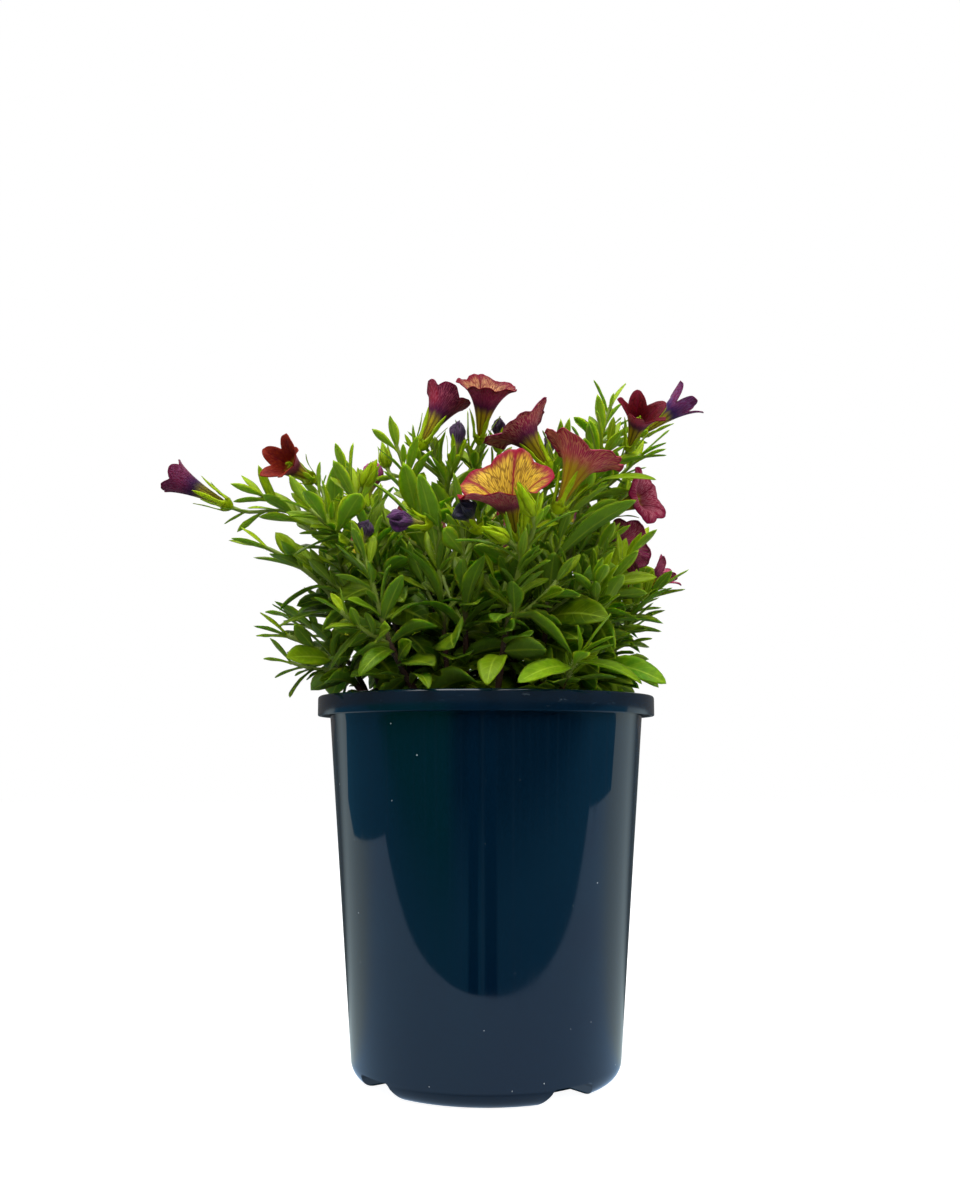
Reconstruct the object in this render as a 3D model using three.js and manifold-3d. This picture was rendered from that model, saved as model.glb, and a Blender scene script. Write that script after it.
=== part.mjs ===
// A calibrachoa in its nursery pot: a tall round pot with a skirted rim and a notched foot, the potting mix
// that fills it, and a bushy plant of leafy stems with open blooms, narrow and star-shaped ones, and faded
// ones. Millimetres, +Z up, origin at the centre of the pot's underside. The plant's best side faces -Y.
import * as THREE from 'three';
import { mergeVertices } from 'three/addons/utils/BufferGeometryUtils.js';
import Module from 'manifold-3d';

const wasm = await Module();
wasm.setup();

// ---- Driving dimensions ----------------------------------------------------------------------------------

const POT = {
  height: 152.5,
  rimRadius: 70,
  rimHeight: 8.2,
  rimCorner: 1.2,
  bodyTopRadius: 65.5,
  bodyBottomRadius: 54,
  footCorner: 8,
  wall: 1.6,
  floor: 2,
  sides: 40,
};
// Four drain recesses cut into the foot of the wall, each with a slot through its ceiling.
const NOTCH = { count: 4, firstDeg: 37, height: 6.5, topWidth: 19, bottomWidth: 27, innerRadius: 37 };
const DRAIN = { width: 5, length: 12, height: 20, radius: 46 };
const GAP = 0.3; // clearance between pieces that touch
const SOIL = { top: 141, relief: 0.7, dome: 1.6, rings: 3, sides: 20 };

// A main stem stands in a plain hole in the mix, and starts to curve at the height `foot` above it.
const STEM = { rootRadius: 1.45, tipRadius: 0.85, foot: 2, sides: 4, step: 20, bareLength: 9 };
const HOLE = { depth: 10, radius: 2.3, sides: 5, above: 6 };
const SHOOT = { radius: 0.8, sides: 3, steps: 2, bareLength: 9, shortest: 22, longest: 34, size: 0.88 };
// A flower stalk leaves its stem at the share `start` of its length, and the next ones `apart` below it.
const PEDICEL = { radius: 0.75, steps: 2, start: 0.86, apart: 0.07 };

// The leaves. Each pair is for a young leaf, near a tip, and for one that is `oldAt` or more below it.
const LEAF = { keel: 1.2, rootWidth: 0.8, oldAt: 85, firstNode: 5 };
const GROWTH = {
  length: [14.5, 27],
  widthShare: [0.26, 0.42],
  openingDeg: [34, 66],
  curl: [0.15, 0.95],
  spacing: [10.3, 17.7],
};

// A calyx has five teeth. Their length is a share of the length of its bloom.
const CALYX = { floor: 1.9, cup: 4, radius: 3.2, wall: 0.8, tooth: 0.42, teeth: 5 };
const COROLLA = { foot: 2.35, tubeStart: 4.4, tubeRadius: 1.3, throat: 4.2, wall: 0.75, columns: 10 };
const CELL = 1.7; // edge of the cells that keep the pieces apart
// How far fusing may move a surface to save small faces: the first of these that fits is used.
const FUSE = [0.2, 0.17, 0.14, 0.11, 0.08, 0.05, 0.03, 0.02, 0.01];
const SMOOTH = 0.02; // how far it may move those of the pot and the mix
const SEED = { first: 7001, step: 613 }; // one seed for each stem

// ---- The plant, as it was laid out by hand ---------------------------------------------------------------

// Each main stem: where it leaves the mix (x, y), its tip, how steeply the tip points up, how far it leans
// out low down as a share of its reach (0.06 if it isn't given), and its number of side shoots.
const STEMS = [
  { root: [-34, -4], tip: [-95, -12, 237], rise: 25, shoots: 2 },
  { root: [-31, -13], tip: [-71, -12, 238], rise: 70, lean: 0.2, shoots: 2 },
  { root: [-40, -15], tip: [-90, -27, 212], rise: 20, shoots: 1 },
  { root: [-22, -24], tip: [-58, -31, 243], rise: 66, lean: 0.15, shoots: 2 },
  { root: [-24, 8], tip: [-56, 20, 248], rise: 60, shoots: 1 },
  { root: [-19, -44], tip: [-48, -52, 207], rise: 70, lean: 0.3, shoots: 1 },
  { root: [-14, -4], tip: [-39, -2, 262], rise: 70, shoots: 2 },
  { root: [-7, 8], tip: [-24, 8, 264], rise: 70, shoots: 1 },
  { root: [-1, 19], tip: [-8, 16, 265], rise: 75, shoots: 1 },
  { root: [-7, -37], tip: [-10, -47, 221], rise: 75, shoots: 1 },
  { root: [9, -24], tip: [18, -36, 220], rise: 65, shoots: 1 },
  { root: [8, -8], tip: [32, -8, 256], rise: 65, shoots: 2 },
  { root: [20, -34], tip: [36, -40, 230], rise: 60, shoots: 1 },
  { root: [24, -8], tip: [52, -15, 258], rise: 60, shoots: 2 },
  { root: [21, 7], tip: [56, 11, 284], rise: 72, shoots: 2 },
  { root: [35, -3], tip: [60, 8, 240], rise: 50, shoots: 1 },
  { root: [31, -17], tip: [49, -20, 214], rise: 45, shoots: 1 },
  { root: [45, 2], tip: [70, -10, 196], rise: 40, shoots: 1 },
  { root: [40, -28], tip: [56, -40, 206], rise: 40, lean: 0.12, shoots: 1 },
  { root: [-46, -22], tip: [-80, -27, 176], rise: 20, shoots: 1 },
  { root: [26, -45], tip: [35, -61, 166], rise: 40, shoots: 0 },
  { root: [3, -50], tip: [17, -66, 212], rise: 60, shoots: 1 },
  { root: [-31, 20], tip: [-70, 42, 226], rise: 45, shoots: 2 },
  { root: [-15, 28], tip: [-36, 58, 248], rise: 60, shoots: 2 },
  { root: [2, 34], tip: [2, 66, 242], rise: 60, shoots: 2 },
  { root: [15, 24], tip: [38, 52, 252], rise: 60, shoots: 2 },
  { root: [32, 18], tip: [68, 38, 222], rise: 45, shoots: 2 },
  { root: [-28, 39], tip: [-56, 68, 190], rise: 30, shoots: 1 },
  { root: [8, 50], tip: [18, 86, 186], rise: 30, shoots: 1 },
  { root: [34, 38], tip: [60, 68, 184], rise: 30, shoots: 1 },
  { root: [-47, 4], tip: [-84, 14, 188], rise: 25, shoots: 1 },
  { root: [-14, -30], tip: [-20, -43, 216], rise: 78, shoots: 1 },
];

// Each bloom: its stem, where its calyx starts, the centre of its mouth, the mouth's radius, the form, the
// turn of its lobes about its own axis in degrees, how far two opposite sides droop (or rise, below 0), and how
// far the mouth leans to the front, both as shares of the radius.
const BLOOMS = [
  { stem: 0, base: [-107, -8, 232], mouth: [-134, -8, 246], radius: 8, form: 'funnel', turn: 20 },
  { stem: 1, base: [-73, -5, 244], mouth: [-86, -25, 250], radius: 11, form: 'star', turn: 80 },
  { stem: 7, base: [-29, 0, 259], mouth: [-16, 9, 287], radius: 11, form: 'funnel', turn: 10, droop: 0.1 },
  {
    stem: 8, base: [-3, 6, 263], mouth: [1, -4, 287], radius: 14, form: 'wide', turn: 90, droop: -0.12, lean: 0.1,
  },
  { stem: 11, base: [27, -16, 246], mouth: [12, -14, 268], radius: 17, form: 'wide', turn: 0, droop: 0.2 },
  {
    stem: 10, base: [12, -42, 212], mouth: [6.5, -54, 232], radius: 20, form: 'wide', turn: 90, droop: -0.3,
    lean: 0.1,
  },
  { stem: 12, base: [27, -45, 222], mouth: [40, -43, 250], radius: 18, form: 'wide', turn: 0, droop: 0.2 },
  { stem: 13, base: [60, -10, 256], mouth: [65, -28, 271], radius: 11.5, form: 'star', turn: 90 },
  { stem: 14, base: [68, 14, 269], mouth: [91, 9, 286], radius: 9.5, form: 'fan', turn: 66 },
  { stem: 15, base: [52, 3, 232], mouth: [69, -11, 237], radius: 13, form: 'open', turn: 40, droop: 0.2 },
  { stem: 16, base: [42, -8, 210], mouth: [63, 4, 218], radius: 13.5, form: 'open', turn: 70, droop: 0.1 },
  { stem: 17, base: [63, 1, 197], mouth: [79, -2, 207], radius: 8.5, form: 'fan', turn: 0 },
  { stem: 22, base: [-60, 52, 218], mouth: [-64, 70, 228], radius: 13, form: 'open', turn: 15, droop: 0.15 },
  { stem: 23, base: [-32, 64, 232], mouth: [-33, 84, 243], radius: 14, form: 'open', turn: 50, droop: 0.1 },
  { stem: 24, base: [5, 70, 227], mouth: [9, 88, 239], radius: 14, form: 'open', turn: 30, droop: 0.15 },
  { stem: 25, base: [38, 62, 232], mouth: [42, 79, 246], radius: 12.5, form: 'funnel', turn: 5, droop: 0.05 },
  { stem: 26, base: [60, 52, 209], mouth: [66, 71, 219], radius: 13, form: 'open', turn: 65, droop: 0.1 },
  { stem: 29, base: [48, 74, 184], mouth: [51, 91, 194], radius: 11, form: 'star', turn: 25 },
];

// Faded blooms and coloured buds: their stem, calyx, far end and widest radius.
const FADED = [
  { stem: 9, base: [-2, -51, 213], mouth: [-10, -56, 224], radius: 5 },
  { stem: 5, base: [-50, -42, 207], mouth: [-46, -43, 219], radius: 3 },
  { stem: 31, base: [-21, -48, 217], mouth: [-37, -55, 218], radius: 4.2 },
  { stem: 4, base: [-53, 12, 236], mouth: [-48, 12, 256], radius: 4.2 },
  { stem: 7, base: [-14, -3, 252], mouth: [-11, -4, 270], radius: 3.2 },
  { stem: 8, base: [6, 13, 261], mouth: [6, 14, 277], radius: 3 },
  { stem: 11, base: [27, 8, 254], mouth: [29, 12, 269], radius: 2.8 },
  { stem: 17, base: [60, 12, 194], mouth: [70, 11, 205], radius: 3.6 },
];

// Green buds, still shut in their sepals: their stem, foot and point.
const GREEN_BUDS = [
  { stem: 21, base: [17, -71, 216], mouth: [11, -79, 227] },
  { stem: 21, base: [8, -70, 207], mouth: [-2, -77, 211] },
  { stem: 6, base: [-43, 4, 252], mouth: [-45, 6, 264] },
  { stem: 3, base: [-50, -30, 236], mouth: [-44, -33, 247] },
  { stem: 24, base: [-8, 66, 240], mouth: [-12, 72, 252] },
];

// The leaves that show most: their stem, how far up it they start, where their point is, their width, how
// far they bend over in radians, and how far they are rolled about their length in degrees.
const KEY_LEAVES = [
  { stem: 9, at: 0.42, tip: [-36, -62, 178], width: 9, curl: 2, roll: 0 },
  { stem: 12, at: 0.45, tip: [46, -58, 179], width: 15, curl: 0.9, roll: 50 },
  { stem: 18, at: 0.9, tip: [37, -50, 197], width: 11, curl: 0.3, roll: 45 },
  { stem: 18, at: 0.62, tip: [53, -46, 198], width: 9, curl: 0.5, roll: 0 },
  { stem: 12, at: 0.72, tip: [58, -52, 226], width: 10.5, curl: 0.5, roll: -20 },
  { stem: 18, at: 0.3, tip: [68, -53, 155], width: 11, curl: 1.1, roll: 45 },
  { stem: 20, at: 0.85, tip: [57, -67, 154], width: 9, curl: 0.8, roll: 20 },
  { stem: 21, at: 0.55, tip: [3, -77, 176], width: 9, curl: 0.6, roll: 0 },
  { stem: 21, at: 0.33, tip: [0, -77, 153], width: 10.5, curl: 1.2, roll: 0 },
  { stem: 20, at: 0.75, tip: [11, -77, 154], width: 9.5, curl: 0.9, roll: -40 },
  { stem: 5, at: 0.2, tip: [-21, -74, 152], width: 6.5, curl: 1.2, roll: 0 },
  { stem: 5, at: 0.4, tip: [-47, -66, 157], width: 7.5, curl: 1.5, roll: -30 },
  { stem: 19, at: 0.62, tip: [-78, -40, 166], width: 11.5, curl: 0.4, roll: -50 },
  { stem: 5, at: 0.62, tip: [-52, -63, 186], width: 7, curl: 0.4, roll: -40 },
  { stem: 19, at: 0.5, tip: [-87, -20, 187], width: 5, curl: 0.5, roll: 0 },
  { stem: 2, at: 0.55, tip: [-82, -38, 178], width: 4.5, curl: 0.6, roll: -20 },
  { stem: 6, at: 0.68, tip: [-52, -18, 243], width: 8.5, curl: 0.6, roll: -30 },
  { stem: 31, at: 0.9, tip: [-26, -54, 236], width: 9, curl: 0.3, roll: 0 },
  { stem: 1, at: 0.8, tip: [-62, -24, 247], width: 8, curl: 0.3, roll: 0 },
  { stem: 3, at: 0.72, tip: [-55, -36, 232], width: 6.5, curl: 0.3, roll: 0 },
  { stem: 31, at: 0.62, tip: [-33, -58, 207], width: 9, curl: 0.7, roll: -20 },
  { stem: 9, at: 0.55, tip: [-1, -60, 203], width: 8.5, curl: 0.5, roll: 20 },
  { stem: 13, at: 0.86, tip: [69, -30, 239], width: 7, curl: 0.5, roll: 30 },
  { stem: 13, at: 0.9, tip: [74, -27, 250], width: 5.5, curl: 0.4, roll: 0 },
  { stem: 21, at: 0.96, tip: [34, -72, 218], width: 5, curl: 0.4, roll: 20 },
  { stem: 21, at: 0.84, tip: [-12, -76, 206], width: 5.5, curl: 0.7, roll: -20 },
  { stem: 17, at: 0.72, tip: [76, -22, 196], width: 5, curl: 0.7, roll: 0 },
];

// ---- Rules that more than one piece uses -----------------------------------------------------------------

const UP = new THREE.Vector3(0, 0, 1);
const vec = (a) => new THREE.Vector3(...a);
const mix = (a, b, t) => a + (b - a) * t;
const radians = (deg) => (deg * Math.PI) / 180;
const ringAngles = (count) => Array.from({ length: count }, (_, i) => (2 * Math.PI * i) / count);

// The direction at an angle from x towards y.
function around(x, y, angle) {
  return x.clone().multiplyScalar(Math.cos(angle)).addScaledVector(y, Math.sin(angle));
}

// Numbers from 0 to 1, the same ones for the same seed.
function seeded(seed) {
  let state = seed;
  return () => {
    state = (state * 48271) % 2147483647;
    return state / 2147483647;
  };
}

// A cubic curve through root and tip. It leaves the root upright and reaches the tip at its own slope.
class Axis {
  constructor(points, radiusAt, side) {
    this.curve = new THREE.CubicBezierCurve3(...points);
    this.radiusAt = radiusAt;
    this.side = side ?? new THREE.Vector3().crossVectors(UP, points[3].clone().sub(points[0])).normalize();
    this.length = points[0].distanceTo(points[3]);
  }

  // The point at t, with the tangent there and two directions across it.
  frame(t) {
    const at = this.curve.getPoint(t);
    const along = this.curve.getTangent(t);
    const across = this.side.clone().addScaledVector(along, -along.dot(this.side)).normalize();
    return { at, along, across, over: new THREE.Vector3().crossVectors(along, across) };
  }
}

function stemAxis({ root, tip, rise, lean = 0.06 }) {
  const foot = new THREE.Vector3(...root, SOIL.top + STEM.foot);
  const end = vec(tip);
  const reach = foot.distanceTo(end);
  const outward = new THREE.Vector3(end.x - foot.x, end.y - foot.y, 0);
  outward.normalize();
  const slope = radians(rise);
  const tipWay = outward.clone().multiplyScalar(Math.cos(slope)).addScaledVector(UP, Math.sin(slope));
  const low = foot.clone().addScaledVector(UP, 0.3 * reach).addScaledVector(outward, lean * reach);
  const radiusAt = (t) => mix(STEM.rootRadius, STEM.tipRadius, t);
  return new Axis([foot, low, end.clone().addScaledVector(tipWay, -0.38 * reach), end], radiusAt);
}

// A side shoot that leaves its stem at t and bends up.
function shootAxis(stem, t, turn, length) {
  const { at, along, across, over } = stem.frame(t);
  const out = around(across, over, turn);
  const start = along.clone().multiplyScalar(0.6).addScaledVector(out, 0.8);
  const finish = start.clone().addScaledVector(UP, 0.55).normalize();
  const end = at.clone().addScaledVector(start, 0.5 * length).addScaledVector(finish, 0.5 * length);
  const points = [
    at,
    at.clone().addScaledVector(start, 0.33 * length),
    end.clone().addScaledVector(finish, -0.33 * length),
    end,
  ];
  return new Axis(points, () => SHOOT.radius);
}

// The flower stalk, from its stem to the foot of the calyx.
function pedicelAxis(stem, { from: foot, way, x }, t) {
  const { at, along } = stem.frame(t);
  const reach = at.distanceTo(foot);
  const low = at.clone().addScaledVector(along, 0.35 * reach);
  const high = foot.clone().addScaledVector(way, -0.4 * reach);
  return new Axis([at, low, high, foot], () => PEDICEL.radius, x);
}

// Half the width of a blade at s, from 0 at its root to 1 at its point, as a share of its full width. It is
// widest at the share `widest` of its length.
function bladeShape(s, widest) {
  const power = Math.log(0.5) / Math.log(widest);
  return 0.5 * (0.13 * (1 - s) + 0.93 * Math.sin(Math.PI * s ** power) ** 0.85);
}

// A point of a blade: s along it, u from -1 to 1 across it, and `lift` off its upper face. The blade follows
// an arc that starts along `way` and turns towards `bend`, and is folded up along its rib.
function bladePoint(leaf, s, u, lift = 0) {
  const angle = leaf.curl * s;
  const sweep = Math.sin(angle) / leaf.curl;
  const drop = (1 - Math.cos(angle)) / leaf.curl;
  const at = leaf.root.clone().addScaledVector(leaf.way, leaf.length * sweep);
  at.addScaledVector(leaf.bend, leaf.length * drop);
  const face = around(leaf.bend.clone().negate(), leaf.way, angle);
  const across = around(leaf.side, face, leaf.twist * s);
  const normal = around(face, leaf.side.clone().negate(), leaf.twist * s);
  const half = leaf.width * bladeShape(s, leaf.widest);
  return at.addScaledVector(across, u * half).addScaledVector(normal, leaf.fold * Math.abs(u) * half + lift);
}

// ---- Space: which cells the pieces hold ------------------------------------------------------------------

const MANY = -2; // the owner of a cell that more than one stem holds

// Cells that the pieces hold. A held cell also holds the 26 round it, so what enters elsewhere stays clear.
class Space {
  constructor() {
    this.held = { stems: new Map(), leaves: new Map(), blooms: new Map() };
  }

  static key(point, dx = 0, dy = 0, dz = 0) {
    const index = (value, shift) => Math.floor(value / CELL) + 512 + shift;
    return (index(point.x, dx) * 1024 + index(point.y, dy)) * 1024 + index(point.z, dz);
  }

  hold(kind, points, owner) {
    const cells = this.held[kind];
    const own = new Map(points.map((p) => [Space.key(p), p]));
    for (const p of own.values())
      for (let dx = -1; dx < 2; dx++)
        for (let dy = -1; dy < 2; dy++)
          for (let dz = -1; dz < 2; dz++) {
            const key = Space.key(p, dx, dy, dz);
            const before = cells.get(key);
            cells.set(key, before === undefined || before === owner ? owner : MANY);
          }
  }

  // True if none of the samples of a blade or shoot of this owner is in another piece's cells or in the pot.
  free(samples, owner) {
    const { stems, leaves, blooms } = this.held;
    return samples.every(({ point, s }) => {
      const key = Space.key(point);
      const stem = stems.get(key);
      const leaf = leaves.get(key);
      if (blooms.has(key) || (stem !== undefined && stem !== owner)) return false;
      if (leaf !== undefined && (leaf !== owner || s > 0.3)) return false;
      return clearOfPot(point);
    });
  }
}

// True if a point is above the mix, and not in or under the rim.
function clearOfPot({ x, y, z }) {
  const radius = Math.hypot(x, y);
  const inner = POT.bodyTopRadius - POT.wall;
  if (z > POT.height + 1.4) return true;
  return radius > POT.rimRadius + 1.4 || (radius < inner - 2.5 && z > SOIL.top + SOIL.dome + 2.2);
}

function axisSamples(axis, from = 0) {
  const count = Math.ceil(axis.length / 1.2) + 2;
  return Array.from({ length: count }, (_, i) => {
    const t = mix(from, 1, i / (count - 1));
    return { point: axis.curve.getPoint(t), s: t };
  });
}

function bladeSamples(leaf) {
  const along = Math.ceil(leaf.length / 1.5) + 1;
  const across = 2 * Math.ceil(leaf.width / 3) + 1;
  const samples = [];
  for (let i = 0; i < along; i++)
    for (let j = 0; j < across; j++) {
      const s = i / (along - 1);
      samples.push({ point: bladePoint(leaf, s, (2 * j) / (across - 1) - 1), s });
    }
  return samples;
}

// ---- Blooms: their shape as a formula --------------------------------------------------------------------

// How a corolla opens: the power of its flare, how flat its limb ends, how deep its lobes are and how pointed.
const FORMS = {
  open: { flare: 3.4, level: 1.6, lobe: 0.1, point: 0.2 },
  wide: { flare: 2.7, level: 1.3, lobe: 0.11, point: 0.25 },
  funnel: { flare: 2.2, level: 1.15, lobe: 0.12, point: 0.4 },
  star: { flare: 2.5, level: 1.2, lobe: 0.26, point: 0.6 },
  fan: { flare: 2.3, level: 1.2, lobe: 0.36, point: 0.15 },
};

// The outline of the five lobes: 1 at the middle of a lobe, less in the notches between them.
function lobeReach(form, angle) {
  const round = Math.sqrt(0.5 + 0.5 * Math.cos(5 * angle));
  const wedge = Math.abs((((5 * angle) / Math.PI) % 2) - 1);
  return 1 - form.lobe * (1 - mix(round, wedge, form.point));
}

// A bloom's own frame: `way` along its axis, x and y across it, turned by `turn`.
function bloomFrame({ base, mouth, turn = 0 }) {
  const from = vec(base);
  const way = vec(mouth).sub(from);
  const length = way.length();
  way.normalize();
  const right = new THREE.Vector3().crossVectors(UP, way).normalize();
  const front = new THREE.Vector3().crossVectors(way, right);
  const x = around(right, front, radians(turn));
  return { from, way, length, x, y: new THREE.Vector3().crossVectors(way, x) };
}

// A point in a bloom's frame, from its height, its distance from the axis and its angle round it.
function inFrame({ from, way, x, y }, height, radius, angle) {
  return from.clone().addScaledVector(way, height).addScaledVector(around(x, y, angle), radius);
}

// The profile of a corolla at v, from 0 at the tube's start to 1 at the limb's edge: [radius, height].
function corollaProfile(bloom, frame, v) {
  const { flare, level } = FORMS[bloom.form];
  const throat = Math.min(COROLLA.throat, 0.3 * bloom.radius);
  const tube = COROLLA.tubeRadius + throat * v ** 0.7;
  const limb = (bloom.radius - COROLLA.tubeRadius - throat) * v ** flare;
  const rise = frame.length - COROLLA.tubeStart;
  return [tube + limb, COROLLA.tubeStart + rise * (1 - (1 - v) ** level)];
}

// A point of the corolla at v and at an angle round it. `inset` moves it in from the outer face.
function corollaPoint(bloom, frame, v, angle, inset = 0) {
  const w = v * mix(1, lobeReach(FORMS[bloom.form], angle), v * v);
  const [radius, height] = corollaProfile(bloom, frame, w);
  const [before, below] = corollaProfile(bloom, frame, Math.max(w - 0.01, 0));
  const [run, climb] = [radius - before + 1e-6, height - below];
  const steep = Math.hypot(run, climb);
  const droop = (bloom.droop ?? 0) * v ** 5 * (0.5 + 0.5 * Math.cos(2 * angle));
  const front = Math.atan2(-frame.y.y, -frame.x.y); // the angle of -Y in the bloom's frame
  const lean = (bloom.lean ?? 0) * v ** 3 * Math.cos(angle - front);
  const fall = bloom.radius * (droop + lean);
  return inFrame(frame, height - fall + (inset * run) / steep, radius - (inset * climb) / steep, angle);
}

// The profile of a faded bloom or a coloured bud, slim at its foot, fullest near its end and shut.
function fadedProfile(bloom, frame, v) {
  const swell = Math.sin(Math.PI * Math.min(v, 0.999) ** 2) ** 0.9;
  const rise = frame.length - COROLLA.tubeStart;
  return [COROLLA.tubeRadius * (1 - v) + bloom.radius * swell, COROLLA.tubeStart + rise * v];
}

function fadedPoint(bloom, frame, v, angle) {
  const [radius, height] = fadedProfile(bloom, frame, v);
  return inFrame(frame, height, radius * (1 + 0.12 * Math.cos(3 * angle)), angle);
}

// The calyx of a bloom: the length of its teeth, and how wide they stand to clear the corolla within them.
function calyxSize(bloom, frame) {
  const tooth = CALYX.tooth * frame.length;
  const profile = bloom.form ? corollaProfile : fadedProfile;
  const inner = (CALYX.radius - CALYX.wall) * Math.cos(Math.PI / CALYX.teeth);
  const needs = FINE_ROWS.map((v) => {
    const [radius, height] = profile(bloom, frame, v);
    const share = (height - CALYX.cup) / tooth;
    return share > 0 && share <= 1 ? (1.12 * radius + 2 * GAP - inner * (1 - share)) / share : 0;
  });
  return { tooth, reach: Math.max(CALYX.radius + 1, ...needs) };
}

const FINE_ROWS = Array.from({ length: 25 }, (_, i) => i / 24);

function surfaceSamples(rows, columns, make) {
  return rows.flatMap((v) => ringAngles(columns).map((angle) => make(v, angle)));
}

// ---- Laying out the leaves -------------------------------------------------------------------------------

const TRIES = [0, 24, -24, 48, -48, 80, -80, 120, -120, 180]; // turns aside, in degrees, best first
const GOLDEN_TURN = radians(137.5);

// The leaf that a node of the stem would bear: young ones are small, slim and upright, old ones broad and
// arching. Each varies a little about the mean for its age.
function leafPlan(age, size, random) {
  const length = mix(...GROWTH.length, age ** 0.8) * size * mix(0.82, 1.12, random());
  return {
    length,
    width: length * mix(...GROWTH.widthShare, age) * mix(0.85, 1.15, random()),
    widest: mix(0.5, 0.66, random()),
    opening: radians(mix(...GROWTH.openingDeg, age) + mix(-8, 8, random())),
    curl: mix(...GROWTH.curl, age) * mix(0.5, 1.25, random()) - 0.05,
    twist: mix(-0.7, 0.7, random()),
    fold: mix(0.1, 0.32, random()),
  };
}

// A leaf on an axis at t, turned round it by `turn`. It bends down and away from the axis.
function leafOn(axis, t, turn, plan) {
  const { at, along, across, over } = axis.frame(t);
  const out = around(across, over, turn);
  const way = around(along, out, plan.opening);
  const bend = out.clone().multiplyScalar(0.5).addScaledVector(UP, -0.8);
  bend.addScaledVector(way, -bend.dot(way)).normalize();
  return { ...plan, root: at, way, bend, side: new THREE.Vector3().crossVectors(way, bend) };
}

// A leaf from an axis to a given point, arched by `curl` and rolled by `roll`.
function leafTo(axis, { at, tip, width, curl, roll }) {
  const root = axis.frame(at).at;
  const chord = vec(tip).sub(root);
  const span = chord.length();
  chord.normalize();
  const sag = UP.clone().negate().addScaledVector(chord, UP.dot(chord)).normalize();
  const rolled = around(sag, new THREE.Vector3().crossVectors(chord, sag), radians(roll));
  const way = around(chord, rolled.clone().negate(), curl / 2);
  const bend = around(rolled, chord, curl / 2);
  const length = (span * curl) / 2 / Math.sin(curl / 2);
  const side = new THREE.Vector3().crossVectors(way, bend);
  return { length, width, widest: 0.58, curl, twist: 0, fold: 0.18, root, way, bend, side };
}

// Puts a leaf where it fits, turned aside if it has to be. Returns null where nothing fits.
function settle(space, { axis, t, turn, plan }, owner) {
  for (const aside of TRIES) {
    const leaf = leafOn(axis, t, turn + radians(aside), plan);
    if (claim(space, leaf, owner)) return leaf;
  }
  return null;
}

// Holds the space of a leaf if all of it is free.
function claim(space, leaf, owner) {
  const samples = bladeSamples(leaf);
  if (!space.free(samples, owner)) return false;
  space.hold('leaves', samples.map(({ point }) => point), owner);
  return true;
}

// The places for leaves along an axis, from its tip down: two at the tip, then one at each node.
function leafPlaces(axis, size, bare, random) {
  const places = [];
  let turn = 2 * Math.PI * random();
  for (const side of [0, Math.PI]) {
    const opening = radians(mix(14, 28, random()));
    places.push({ axis, t: 0.98, turn: turn + side, plan: { ...leafPlan(0, size, random), opening } });
  }
  let down = LEAF.firstNode;
  while (down < axis.length - bare) {
    const age = Math.min(down / LEAF.oldAt, 1);
    turn += GOLDEN_TURN;
    places.push({ axis, t: 1 - down / axis.length, turn, plan: leafPlan(age, size, random) });
    down += mix(...GROWTH.spacing, age) * mix(0.9, 1.1, random());
  }
  return places;
}

const axisPoints = (axis) => axisSamples(axis).map(({ point }) => point);

// Hangs a flower stalk and its calyx on a stem, and keeps their space.
function addPedicel(space, stem, frame, size) {
  const axis = pedicelAxis(stem.axis, frame, PEDICEL.start - PEDICEL.apart * stem.pedicels.length);
  stem.pedicels.push({ axis, frame, size });
  const teeth = surfaceSamples([0.1, 0.4, 0.7, 1], 10, (v, angle) =>
    inFrame(frame, CALYX.cup + size.tooth * v, mix(CALYX.radius, size.reach, v), angle),
  );
  space.hold('stems', [...axisPoints(axis), ...teeth], stem.owner);
}

// Side shoots leave a stem at a few places, each turned aside until it is clear.
function addShoots(space, stem, random) {
  for (let i = 0; i < stem.row.shoots; i++) {
    const t = mix(0.38, 0.7, (i + random()) / stem.row.shoots);
    const turn = 2 * Math.PI * random();
    const length = mix(SHOOT.shortest, SHOOT.longest, random());
    const tries = TRIES.map((aside) => shootAxis(stem.axis, t, turn + radians(aside), length));
    const axis = tries.find((shoot) => space.free(axisSamples(shoot, 0.15), stem.owner));
    if (!axis) continue;
    space.hold('stems', axisPoints(axis), stem.owner);
    stem.shoots.push(axis);
  }
}

// Places the blooms, the faded ones and the green buds, each on its stalk.
function addFlowers(space, stems) {
  for (const bloom of [...BLOOMS, ...FADED]) {
    const frame = bloomFrame(bloom);
    addPedicel(space, stems[bloom.stem], frame, calyxSize(bloom, frame));
    const make = bloom.form ? corollaPoint : fadedPoint;
    const columns = bloom.form ? 60 : 24;
    const surface = surfaceSamples(FINE_ROWS, columns, (v, angle) => make(bloom, frame, v, angle));
    space.hold('blooms', surface, 0);
  }
  for (const bud of GREEN_BUDS) {
    const frame = bloomFrame(bud);
    addPedicel(space, stems[bud.stem], frame, { tooth: frame.length - CALYX.cup, reach: 0, shut: true });
  }
}

// Puts a leaf at each place, the nearest the tips first on every stem in turn.
function addLeaves(space, stems) {
  const most = Math.max(...stems.map(({ places }) => places.length));
  for (let rank = 0; rank < most; rank++)
    for (const stem of stems) {
      const leaf = rank < stem.places.length && settle(space, stem.places[rank], stem.owner);
      if (leaf) stem.leaves.push(leaf);
    }
}

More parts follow.
